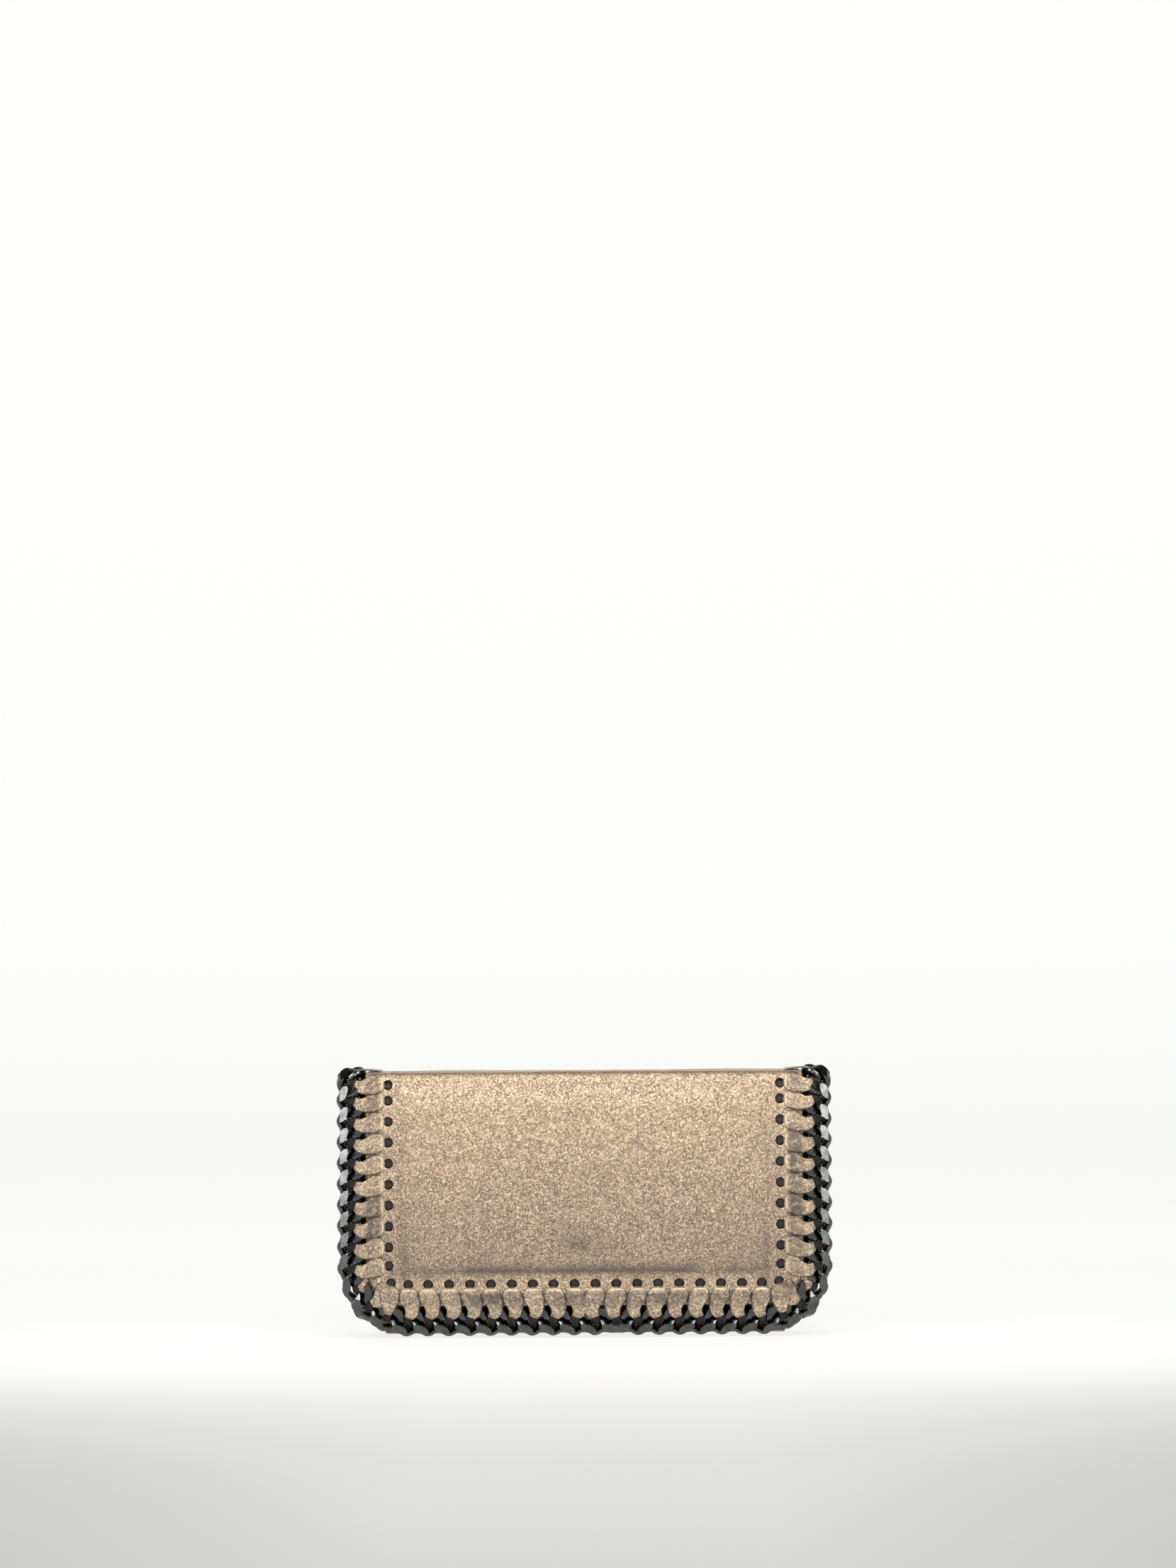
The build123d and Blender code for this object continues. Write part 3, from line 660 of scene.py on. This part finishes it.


def lace_mesh(hole_inset, lean, jitter, flatter=1.0):
    """Closed band through a link's eye and a hole; lean is +1 or -1 and slants its wide front tongue."""
    run = FRONT_RUN + BACK_RUN
    stretch = hole_inset / HOLE_INSET
    path = np.array([(0.0, u * stretch if u > 0 else u, v) for u, v, _ in run])
    widths = np.array([w for _, _, w in run])
    shown = np.array([max(0.0, v) / 3.1 for _, v, _ in run])
    fall = smooth((12.5 - path[:, 1]) / 9.0) * shown * smooth((path[:, 1] - 0.6) / 2.0)
    path[:, 0] = lean * 1.3 * fall + jitter[0] * fall
    widths = widths * (1 + jitter[1] * shown)
    along = np.roll(path, -1, 0) - np.roll(path, 1, 0)
    along[:, 0] *= 0.3
    along /= np.linalg.norm(along, axis=1)[:, None]
    across = np.tile((1.0, 0.0, 0.0), (len(path), 1))
    out = np.cross(across, along)
    out /= np.linalg.norm(out, axis=1)[:, None]
    out = -out if out[8, 2] < 0 else out
    verts = []
    for k in range(len(path)):
        near = smooth((8.5 - path[k, 1]) / 6.0) * shown[k]
        for x, z in LACE_SECTION:
            skew = near * 0.58 * lean * x * widths[k] * -1.0
            droop = -0.3 * abs(x) ** 4 * shown[k]
            point = path[k] + across[k] * x * widths[k] + out[k] * (z * 0.85 + droop * 0.6)
            point[1] += skew
            point[2] *= flatter
            verts.append(point)
    count, sides = len(path), len(LACE_SECTION)
    faces = []
    for k in range(count):
        after = (k + 1) % count
        for i in range(sides):
            j = (i + 1) % sides
            faces.append((k * sides + i, k * sides + j, after * sides + j, after * sides + i))
    axes = np.eye(3)
    root = rod(np.array((0.0, hole_inset, 0.0)), *axes, HOLE_RX + 0.15, HOLE_RY + 0.15, 0.5, ROOT_SIDES)
    middle = smooth((path[:, 1] - 3.5) / 3.5) * smooth((11.8 - path[:, 1]) / 1.6) * (shown > 0)
    middle = np.repeat(middle * random.uniform(0.25, 1.0), sides)
    # Painted shade along the band's edges, where the gaps between laces lie in shade.
    edge_painted_shade = np.repeat(smooth((12.2 - path[:, 1]) / 2.0), sides)
    edge_painted_shade *= np.tile([1.0 if abs(x) > 0.95 else 0.0 for x, _ in LACE_SECTION], count)
    # Painted highlight where the band bends up out of its hole.
    painted_highlight_crescent = np.repeat(np.exp(-((path[:, 1] - 11.95) / 0.5) ** 2) * (path[:, 2] > 0.5), sides)
    painted_highlight_crescent *= np.tile([1.0 if abs(x) < 0.9 else 0.2 for x, _ in LACE_SECTION], count)
    LACE_WEAR_AND_PAINTED_LIGHT.append(np.concatenate([middle + 2.0 * edge_painted_shade - painted_highlight_crescent, np.zeros(len(root[0]))]))
    return joined([(np.array(verts), faces), root])


def fold_lace_place(y_side, x_side):
    """Frame of the lace from a fold's link to the highest hole of a panel."""
    turn = math.radians(14)
    hand = y_side * x_side
    return Place((x_side * CHAIN_X, y_side * (MID_Y - 0.3), FOLD_HOLE_Z),
                 (0, hand * y_side * math.sin(turn), -hand * math.cos(turn)),
                 (0, y_side * math.cos(turn), math.sin(turn)))


def some_jitter():
    return (random.uniform(-0.35, 0.35), random.uniform(-0.07, 0.07))


def make_laces(name, parts, node):
    verts, faces = joined(parts)
    obj = new_object(name, verts, faces, LACE_FOIL, "outer_leather", 60.0)
    obj.data.materials.append(RAW_EDGE_AND_PAINTED_SHADE)
    run = FRONT_RUN + BACK_RUN
    # Faces of the run inside the link's eye and of the root in the hole take the dark colour as painted shade.
    raw_and_painted_shade = [run[k][0] + run[(k + 1) % len(run)][0] < 2 * PAINTED_SHADE_INSET for k in range(len(run)) for _ in LACE_SECTION]
    raw_and_painted_shade += [True] * (ROOT_SIDES + 2)
    obj.data.polygons.foreach_set("material_index", np.array(raw_and_painted_shade * len(parts), np.int32))
    wear_and_painted_light = obj.data.attributes.new("worn_and_painted_light", "FLOAT", "POINT")
    wear_and_painted_light.data.foreach_set("value", np.concatenate(LACE_WEAR_AND_PAINTED_LIGHT[:len(parts)]).astype(np.float32))
    del LACE_WEAR_AND_PAINTED_LIGHT[:len(parts)]
    step = obj.modifiers.new("round", "SUBSURF")
    step.levels = step.render_levels = 1
    if node:
        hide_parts(node)
    return obj


def hole_stations(low, radius):
    """(arc length, inset) of every hole of a panel."""
    flat = CHAIN_X - radius
    arc = radius * math.pi / 2
    found = []
    for _, s in link_places(low, radius):
        run = abs(s)
        if run < flat + 2 or run > flat + arc - 2:
            found.append((s, HOLE_INSET))
        elif abs(run - flat - arc / 2) < 4:
            found.append((s, CORNER_HOLE_INSET))
    return found


def lace_parts(low, radius, y, face, wanted):
    """The laces of one edge of a panel: left, bottom or right."""
    parts = []
    flat = CHAIN_X - radius
    arc = radius * math.pi / 2
    insets = dict(hole_stations(low, radius))
    for _, s in link_places(low, radius):
        side = "bottom" if abs(s) < flat + 2 else ("left" if s < 0 else "right")
        if side != wanted:
            continue
        hand = (1 if s < 0 else -1) * -face
        place = edge_place(s, low, radius, y, face)
        if insets.get(s) == HOLE_INSET:
            parts.append(placed(place, lace_mesh(HOLE_INSET, hand, some_jitter())))
        elif s in insets:
            parts.append(placed(place, lace_mesh(CORNER_HOLE_INSET, 0.6 * hand, some_jitter(), 0.94)))
            hole = place.point(0, CORNER_HOLE_INSET, 0)
            turn = math.radians(CORNER_FAN * math.copysign(1, s) * face)
            x_axis = place.x * math.cos(turn) + place.y * math.sin(turn)
            inward = -place.x * math.sin(turn) + place.y * math.cos(turn)
            fanned = Place(hole - inward * CORNER_REACH, x_axis, place.z)
            parts.append(placed(fanned, lace_mesh(CORNER_REACH, 0.3 * hand, some_jitter(), 1.08)))
        elif abs(s) > flat + arc / 2:
            parts.append(placed(place, lace_mesh(6.0, 0.0, some_jitter(), 0.6)))
    return parts


for side_y, body, low, radius in ((-1, "flap", FLAP_LOW, FLAP_R), (1, "body", BACK_LOW, BACK_R)):
    word = "flap" if side_y < 0 else "back"
    for side in ("left", "bottom", "right"):
        parts = lace_parts(low, radius, side_y * MID_Y, side_y, side)
        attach(make_laces(f"{word}_laces_{side}", parts, f"{word}_lace_{side}"), body)
for side_x, side in ((-1, "left"), (1, "right")):
    parts = [placed(spine_place(y, side_x), lace_mesh(HOLE_INSET, 0.5, some_jitter(), 0.85)) for y in SPINE_YS]
    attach(make_laces(f"spine_laces_{side}", parts, f"spine_lace_{side}"), "spine")
    for side_y, word, pair in ((-1, "front", ("spine", "flap")), (1, "rear", ("spine", "body"))):
        parts = [placed(fold_lace_place(side_y, side_x), lace_mesh(HOLE_INSET, side_y * side_x, some_jitter()))]
        obj = make_laces(f"fold_lace_{word}_{side}", parts, None)
        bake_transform(obj)


# ---- outer shell -------------------------------------------------------------------------------------

def shell_point(y_side, u, depth):
    """Point and outward normal (y, z) at distance u from the spine's middle, depth under the outer face."""
    top, arc = OUTER_Y - FOLD_R, FOLD_R * math.pi / 2
    if u <= top:
        y, z, ny, nz = u, TOP_Z, 0.0, 1.0
    elif u <= top + arc:
        turn = (u - top) / FOLD_R
        ny, nz = math.sin(turn), math.cos(turn)
        y, z = top + FOLD_R * ny, TOP_Z - FOLD_R + FOLD_R * nz
    else:
        y, z, ny, nz = OUTER_Y, TOP_Z - FOLD_R - (u - top - arc), 1.0, 0.0
    return y_side * (y - ny * depth), z - nz * depth, y_side * ny, nz


def shell_rows(low_z, step, margin):
    """Distances u of the grid's rows, closer together near the rounded lower corners."""
    end = (OUTER_Y - FOLD_R) + FOLD_R * math.pi / 2 + (TOP_Z - FOLD_R - low_z) - margin
    rows = list(np.arange(0.0, end - 6.0, step))
    rows += [end - 6.0 * (1 - k / 8.0) ** 1.6 for k in range(9)]
    return rows


def half_width(z, low_z, corner, margin):
    """Half width of a panel at height z, with its lower corners rounded."""
    rise = z - low_z
    if rise >= corner:
        return PANEL_HALF_W - margin
    inside = corner - max(rise, margin)
    r = corner - margin
    return PANEL_HALF_W - corner + math.sqrt(max(r * r - inside * inside, 0.0))


def pad_rise(x, z):
    """Soft padded rise of the flap's face."""
    edge = 4.5
    shape = (smooth((PAD_HALF_W + 1.5 - abs(x)) / edge) * smooth((z - PAD_LOW + 1.5) / edge)
             * smooth((PAD_HIGH - z) / 9.0))
    crown = (1 - (x / PAD_HALF_W) ** 2) * (1 - ((z - 60) / 40) ** 2)
    return float(shape * (1.0 + 0.5 * max(crown, 0.0)))


def shell_sheet(y_side, low_z, corner, depths, face_rise, holes, rim):
    """Solid of the shell between two depths; face_rise(x, y, z) lifts the outer grid."""
    margin = rim
    rows = shell_rows(low_z, 1.25, margin)
    shares = np.linspace(-1, 1, 141)
    outer = np.zeros((len(rows), len(shares), 3))
    inner = np.zeros_like(outer)
    bulge = np.full(outer.shape[:2], rim)
    bulge[0, :] = 0.0
    for r, u in enumerate(rows):
        y0, z0, _, _ = shell_point(y_side, u, 0.0)
        half = half_width(z0, low_z, corner, margin)
        y_out, z_out, ny, nz = shell_point(y_side, u, depths[0])
        y_in, z_in, _, _ = shell_point(y_side, u, depths[1])
        for c, share in enumerate(shares):
            x = half * share
            lift = face_rise(x, y0, z0) if face_rise else 0.0
            for hx, hy, hz in holes:
                d2 = (x - hx) ** 2 + (y0 - hy) ** 2 + (z0 - hz) ** 2
                if d2 < 30:
                    lift += -0.34 * math.exp(-d2 / 5.5) + 0.10 * math.exp(-(math.sqrt(d2) - 3.2) ** 2 / 1.4)
            outer[r, c] = (x, y_out + ny * lift, z_out + nz * lift)
            inner[r, c] = (x, y_in, z_in)
    return solid_sheet(outer, inner, bulge)


def ripple(x, y, z):
    """Gentle unevenness of real leather."""
    return 0.16 * noise.noise(Vector((x * 0.045, y * 0.05, z * 0.06))) + 0.05 * noise.noise(Vector((x * 0.3, y, z * 0.3)))


def flap_face(x, y, z):
    return pad_rise(x, z) * float(smooth((-y - 6.0) / 8.0)) + ripple(x, y, z)


def hole_frames(y_side, low, radius):
    """Centre and axes of each hole of a panel and of its half of the spine."""
    frames = []
    for s, inset in hole_stations(low, radius):
        place = edge_place(s, low, radius, y_side * MID_Y, y_side)
        frames.append((place.point(0, inset, 0), place.x, place.y, place.z))
    for side_x in (-1, 1):
        place = spine_place(y_side * (MID_Y - FOLD_SKIP), side_x)
        frames.append((place.point(0, HOLE_INSET, 0), place.x, place.y, place.z))
        centre = np.array((side_x * (CHAIN_X - HOLE_INSET), y_side * MID_Y, FOLD_HOLE_Z))
        side_axes = edge_place(side_x * 150.0, low, radius, y_side * MID_Y, y_side)
        frames.append((centre, side_axes.x, side_axes.y, side_axes.z))
    return frames


def shell_half(word, y_side, low_z, low, radius, body, nodes):
    """Leather and lining of one half of the shell, from the middle of the spine round the fold."""
    corner = radius - (CHAIN_X - PANEL_HALF_W)
    frames = hole_frames(y_side, low, radius)
    surface = [tuple(c + z * HALF_T) for c, _, _, z in frames]
    cutters = [rod(c, x, y, z, HOLE_RX, HOLE_RY, 6.0) for c, x, y, z in frames]
    top, front = OUTER_Y - FOLD_R, TOP_Z - FOLD_R
    start = (0, y_side * (top - 1.0) * MM, TOP_Z * MM)
    end = (0, y_side * OUTER_Y * MM, (front - 3.0) * MM)
    if y_side > 0:
        start, end = end, start
    rise = flap_face if y_side < 0 else ripple
    verts, faces = shell_sheet(y_side, low_z, corner, (0.0, LEATHER_T - 0.02), rise, surface, 0.55)
    foil = FLAP_FOIL if word == "flap" else FOIL
    leather = new_object(f"{word}_outer_leather", verts, faces, foil, "outer_leather", 50.0)
    cut(leather, cutters)
    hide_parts(*nodes[0])
    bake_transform(leather)
    board_low = low + HOLE_INSET + 4

    def over_board(x, y, z):
        inside = smooth((BOARD_HALF_W + 1.5 - abs(x)) / 1.5) * smooth((z - board_low + 1.5) / 1.5)
        return -float(inside * smooth((FOLD_Z - 4.5 - z) / 1.5)) * BOARD_T

    verts, faces = shell_sheet(y_side, low_z, corner, (LEATHER_T + 0.02, SHELL_T), over_board, [], 0.55)
    lining = new_object(f"{word}_inner_lining", verts, faces, TAUPE, "inner_leather", 50.0)
    cut(lining, cutters)
    if word == "flap":
        socket_low, socket_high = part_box("snap_socket")
        centre = (np.array(socket_low) + np.array(socket_high)) * 500.0
        face_y = -(MID_Y - HALF_T)
        axes = (np.array((1.0, 0, 0)), np.array((0, 0, 1.0)), np.array((0, -1.0, 0)))
        seat = mm(socket_high.x) + 0.05
        cut(lining, [rod(np.array((centre[0], face_y, centre[2])), *axes, seat, seat, 0.98, 40)])
    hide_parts(*nodes[1])
    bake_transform(lining)
    return leather, lining


flap_leather, flap_lining = shell_half("flap", -1, FLAP_EDGE_Z, FLAP_LOW, FLAP_R, "flap",
                                       (["flap_leather", "spine_leather"], ["flap_lining", "spine_lining"]))
back_leather, back_lining = shell_half("back", 1, BACK_EDGE_Z, BACK_LOW, BACK_R, "body",
                                       (["back_leather"], ["back_lining"]))


# ---- inside ------------------------------------------------------------------------------------------

def panel(name, node, material, slot, body, corner=6.0, rim=0.25, wave=0.05, step=3.0, top_round=1.5):
    """Flat sheet in the place of a CAD node, with rounded edges and a little unevenness."""
    low, high = (np.array(p) * 1000.0 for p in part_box(node))
    half = (high[0] - low[0]) / 2 - rim
    middle = (high[0] + low[0]) / 2
    z_low, z_high = low[2] + rim, high[2] - rim
    rows = sorted(set([z_low + corner * (1 - math.cos(math.radians(a))) for a in range(0, 91, 10)]
                      + list(np.arange(z_low + corner, z_high - top_round, step))
                      + [z_high - top_round * (1 - math.sin(math.radians(a))) for a in range(0, 91, 18)]))
    shares = np.linspace(-1, 1, max(3, int(half * 2 / step)))
    outer = np.zeros((len(rows), len(shares), 3))
    inner = np.zeros_like(outer)
    for r, z in enumerate(rows):
        cut_in = 0.0
        if z < z_low + corner:
            cut_in = corner - math.sqrt(max(corner ** 2 - (z_low + corner - z) ** 2, 0.0))
        elif z > z_high - top_round:
            cut_in = top_round - math.sqrt(max(top_round ** 2 - (z - z_high + top_round) ** 2, 0.0))
        for c, share in enumerate(shares):
            x = middle + (half - cut_in) * share
            sway = wave * noise.noise(Vector((x * 0.04, z * 0.05, low[1])))
            outer[r, c] = (x, low[1] + sway, z)
            inner[r, c] = (x, high[1] + sway, z)
    verts, faces = solid_sheet(outer, inner, np.full(outer.shape[:2], rim))
    obj = new_object(name, verts, faces, material, slot, 50.0)
    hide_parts(node)
    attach(obj, body)
    return obj


def card_slots(name, node, body, direction):
    """Stepped card slots: three leather layers, each with a folded top edge and a thumb dip."""
    low, high = (np.array(p) * 1000.0 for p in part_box(node))
    layer = (high[1] - low[1]) / 3
    parts = []
    for step in range(3):
        back = low[1] + layer * step if direction > 0 else high[1] - layer * step
        front = back + direction * (layer - 0.06)
        top = high[2] - 9.0 * step
        y_low, y_high = sorted((back, front))
        shares = np.linspace(0, 1, 25)
        rows = list(np.linspace(low[2] + 0.2, top - 3.0, 12)) + [top - 1.6, top - 0.8, top - 0.2]
        outer = np.zeros((len(rows), len(shares), 3))
        inner = np.zeros_like(outer)
        for r, z in enumerate(rows):
            fold = 0.05 * float(smooth((z - top + 1.8) / 0.8))
            for c, share in enumerate(shares):
                x = low[0] + 0.2 + (high[0] - low[0] - 0.4) * share
                dip = 2.2 * math.exp(-((share - 0.5) / 0.12) ** 2) * float(smooth((z - top + 8) / 8))
                outer[r, c] = (x, y_low - (fold if direction < 0 else 0), z - dip)
                inner[r, c] = (x, y_high + (fold if direction > 0 else 0), z - dip)
        parts.append(solid_sheet(outer, inner, np.full(outer.shape[:2], 0.12)))
    verts, faces = joined(parts)
    obj = new_object(name, verts, faces, POCKET_LEATHER, "inner_leather", 50.0)
    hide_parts(node)
    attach(obj, body)
    return obj


def stitches(name, start, end, body, out, pitch=2.6):
    """Row of raised thread stitches from start to end, standing out of a surface along out."""
    start, end, out = np.array(start, float), np.array(end, float), np.array(out, float)
    length = np.linalg.norm(end - start)
    along = (end - start) / length
    across = np.cross(out, along)
    count = int(length / pitch)
    parts = []
    for i in range(count):
        centre = start + along * (i + 0.5) * length / count
        ring_parts = []
        for t in (-0.72, -0.5, 0.0, 0.5, 0.72):
            size = 0.24 * math.sqrt(max(1 - (t / 0.8) ** 2, 0.05))
            lift = 0.16 * (1 - (t / 0.72) ** 2)
            for k in range(6):
                turn = math.pi * 2 * k / 6
                ring_parts.append(centre + along * t * 1.15 + across * size * math.cos(turn)
                                  + out * (size * math.sin(turn) * 0.8 + lift))
        faces = [tuple(range(6))[::-1], tuple(range(24, 30))]
        faces += [(r * 6 + k, r * 6 + (k + 1) % 6, r * 6 + 6 + (k + 1) % 6, r * 6 + 6 + k)
                  for r in range(4) for k in range(6)]
        parts.append((np.array(ring_parts), faces))
    verts, faces = joined(parts)
    obj = new_object(name, verts, faces, THREAD, "lining", 80.0)
    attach(obj, body)
    return obj


def gusset(name, node):
    """Pleated side wall, a soft V in plan."""
    low, high = (np.array(p) * 1000.0 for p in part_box(node))
    side = 1 if low[0] > 0 else -1
    outer_x = max(abs(low[0]), abs(high[0]))
    fold_x = min(abs(low[0]), abs(high[0]))
    wall, mid_y, half = 0.7, (low[1] + high[1]) / 2, (high[1] - low[1]) / 2
    rows, cols = np.linspace(low[2] + 0.3, high[2] - 0.3, 30), np.linspace(-1, 1, 17)
    outer = np.zeros((len(rows), len(cols), 3))
    inner = np.zeros_like(outer)
    for r, z in enumerate(rows):
        for c, share in enumerate(cols):
            depth = 1 - (1 - abs(share)) ** 1.0
            soft = math.sqrt(depth * depth + 0.02) - math.sqrt(0.02)
            x = fold_x + wall + (outer_x - fold_x - wall - 0.2) * min(soft / 0.87, 1.0)
            x += 0.12 * noise.noise(Vector((0, share, z * 0.08)))
            y = mid_y + share * (half - wall / 2 - 0.05)
            outer[r, c] = (side * x, y, z)
            inner[r, c] = (side * (x - wall), y + math.copysign(wall * 0.25, share) if share else y, z)
    verts, faces = solid_sheet(outer, inner, np.full(outer.shape[:2], 0.2))
    obj = new_object(name, verts, faces, TAUPE, "inner_leather", 60.0)
    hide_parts(node)
    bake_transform(obj)
    return obj


front = panel("front_panel_leather", "front_leather", TAUPE, "inner_leather", "front_panel")
stud_low, stud_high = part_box("snap_stud")
stud_r = mm(stud_high.x) + 0.05
seat_centre = np.array((0.0, mm(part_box("front_leather")[0].y), mm((stud_low.z + stud_high.z) / 2)))
cut(front, [rod(seat_centre, np.array((1.0, 0, 0)), np.array((0, 0, 1.0)), np.array((0, -1.0, 0)),
                stud_r, stud_r, 0.75, 40)])
panel("front_panel_lining", "front_lining", LINING, "lining", "front_panel")
panel("zip_pocket_wall_front", "zip_pocket_front_wall", LINING, "lining", "zip_pocket")
panel("zip_pocket_wall_rear", "zip_pocket_rear_wall", LINING, "lining", "zip_pocket")
panel("zip_tape_cloth_front", "zip_tape_front", TAPE, "zip_tape", "zip_pocket", 0.5, 0.1, 0.0, 3.0, 0.5)
panel("zip_tape_cloth_rear", "zip_tape_rear", TAPE, "zip_tape", "zip_pocket", 0.5, 0.1, 0.0, 3.0, 0.5)
pocket_low, _ = (np.array(p) * 1000.0 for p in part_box("zip_pocket_front_wall"))
_, pocket_high = (np.array(p) * 1000.0 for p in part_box("zip_pocket_rear_wall"))
for side_x, side in ((-1, "left"), (1, "right")):
    middle = (pocket_low + pocket_high) / 2
    middle[0] = side_x * (pocket_high[0] - 0.7)
    width, height = pocket_high[1] - pocket_low[1], pocket_high[2] - pocket_low[2]
    welt = rod(middle, *np.eye(3), 0.55, width / 2 - 0.15, height / 2 - 1.2)
    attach(new_object(f"zip_pocket_side_welt_{side}", *welt, LINING, "lining"), "zip_pocket")
panel("rear_card_leather", "rear_card_panel", TAUPE, "inner_leather", "body")
panel("base_leather_strip", "base_strip", TAUPE, "inner_leather", "body", 0.8, 0.3, 0.0, 3.0, 0.8)
for side in ("left", "right"):
    card_slots(f"front_card_pockets_{side}", f"front_card_slots_{side}", "front_panel", 1)
    card_slots(f"rear_card_pockets_{side}", f"rear_card_slots_{side}", "body", -1)
    gusset(f"gusset_fold_front_{side}", f"gusset_front_{side}")
    gusset(f"gusset_fold_rear_{side}", f"gusset_rear_{side}")
front_low, front_high = (np.array(p) * 1000.0 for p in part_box("front_leather"))
stitches("front_panel_top_stitches", (front_low[0] + 6, front_low[1] - 0.05, front_high[2] - 3),
         (front_high[0] - 6, front_low[1] - 0.05, front_high[2] - 3), "front_panel", (0, -1, 0))

# ---- carried-over CAD nodes --------------------------------------------------------------------------

for node, material in (("snap_socket", FITTING), ("snap_stud", FITTING), ("zip_slider", FITTING),
                       ("zip_pull", FITTING), ("zip_stops", FITTING), ("zip_teeth_front", FITTING),
                       ("zip_teeth_rear", FITTING), ("flap_board", BOARD), ("back_board", BOARD),
                       ("front_board", BOARD)):
    mesh = frame["nodes"][node].data
    mesh.materials.clear()
    mesh.materials.append(material)


# ---- studio ------------------------------------------------------------------------------------------

def backdrop():
    """Pale sweep: a floor that curves up behind the object, glowing with painted light that is brightest behind
    and falls off to darker at the front and its front corners.
    """
    n = Nodes("pale_sweep_with_painted_light")
    parts = n.add("ShaderNodeSeparateXYZ")
    n.put(parts.inputs[0], n.space)
    # Painted fall-off of light: the glow darkest at the front and brightest behind the object.
    near = n.span(parts.outputs[1], -0.75, 1.2, 0.0, 1.0)
    tone = n.ramp(near, [(0.0, srgb(204, 204, 202)), (0.154, srgb(218, 218, 216)), (0.29, srgb(238, 238, 236)),
                         (0.4, srgb(242, 242, 240)), (0.81, srgb(246, 246, 244)), (0.91, srgb(255, 255, 253))])
    # Painted shade at the sweep's front corners.
    painted_corner_shade = n.span(n.math("ABSOLUTE", parts.outputs[0]), 0.05, 0.24, 0.0, 1.0)
    painted_corner_shade = n.math("MULTIPLY", painted_corner_shade, n.span(parts.outputs[1], -0.15, -0.55, 0.0, 1.0))
    tone = n.mix(painted_corner_shade, tone, srgb(176, 176, 174))
    # The sweep glows, standing in for the light falling on it.
    glow = n.add("ShaderNodeEmission")
    n.put(glow.inputs["Color"], tone)
    glow.inputs["Strength"].default_value = 0.9
    n.done(tone, 0.9)
    both = n.add("ShaderNodeAddShader")
    n.shader.inputs["Base Color"].default_value = (0.2, 0.2, 0.2, 1.0)
    n.tree.links.remove(n.shader.inputs["Base Color"].links[0])
    n.put(both.inputs[0], glow.outputs[0])
    n.put(both.inputs[1], n.shader.outputs[0])
    n.put(n.tree.nodes["Material Output"].inputs["Surface"], both.outputs[0])
    profile = [(-3.0, 0.0), (0.6, 0.0)]
    profile += [(0.6 + 0.6 * math.sin(math.radians(a)), 0.6 - 0.6 * math.cos(math.radians(a)))
                for a in range(10, 91, 10)]
    profile += [(1.2, 3.0)]
    base = mm(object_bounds()[0].z) * MM - 0.0002
    verts = [(x, y, z + base) for y, z in profile for x in (-3.0, 3.0)]
    faces = [(2 * i, 2 * i + 1, 2 * i + 3, 2 * i + 2) for i in range(len(profile) - 1)]
    mesh = bpy.data.meshes.new("sweep")
    mesh.from_pydata(verts, [], faces)
    mesh.shade_smooth()
    mesh.materials.append(n.material)
    obj = bpy.data.objects.new("sweep", mesh)
    bpy.context.scene.collection.objects.link(obj)


def area_light(name, place, aim, size, power, colour=(1, 1, 1), soft_too=True):
    data = bpy.data.lights.new(name, "AREA")
    data.shape, data.size, data.size_y = "RECTANGLE", size[0], size[1]
    data.energy, data.color = power, colour
    obj = bpy.data.objects.new(name, data)
    obj.location = place
    obj.rotation_euler = (Vector(aim) - Vector(place)).to_track_quat("-Z", "Y").to_euler()
    obj.visible_camera = False
    obj.visible_diffuse = soft_too
    bpy.context.scene.collection.objects.link(obj)


backdrop()
area_light("key_above", (0.0, -0.135, 0.215), (0, -0.015, 0.10), (0.5, 0.05), 0.66, (1.0, 0.965, 0.94))
area_light("front_card", (0.0, -2.7, 0.8), (0, 0, 0.05), (1.6, 2.0), 6.5)
for side_x in (-1, 1):
    area_light(f"front_strip_{'left' if side_x < 0 else 'right'}", (side_x * 0.55, -1.5, 0.3), (0, 0, 0.05),
               (0.28, 0.8), 3.3)
    area_light(f"metal_strip_{'left' if side_x < 0 else 'right'}", (side_x * 0.27, -0.6, 0.10), (side_x * 0.09, 0, 0.05),
               (0.14, 0.34), 0.55, soft_too=False)
world = bpy.data.worlds.new("studio")
bpy.context.scene.world = world
world.use_nodes = True
world.node_tree.nodes["Background"].inputs["Color"].default_value = (1, 1, 1, 1)
world.node_tree.nodes["Background"].inputs["Strength"].default_value = 0.1

ROLL = math.radians(-0.37)
camera_data = bpy.data.cameras.new("camera")
camera_data.lens, camera_data.sensor_width = 105.3, 36.0
camera = bpy.data.objects.new("camera", camera_data)
camera.location = (0.0024, -1.8, 0.15)
aim = Vector((0.0024, 0.0, 0.2141)) - camera.location
camera.rotation_euler = (aim.to_track_quat("-Z", "Y").to_matrix() @ Matrix.Rotation(ROLL, 3, "Z")).to_euler()
bpy.context.scene.collection.objects.link(camera)
bpy.context.scene.camera = camera
bpy.context.scene.view_settings.view_transform = "Standard"
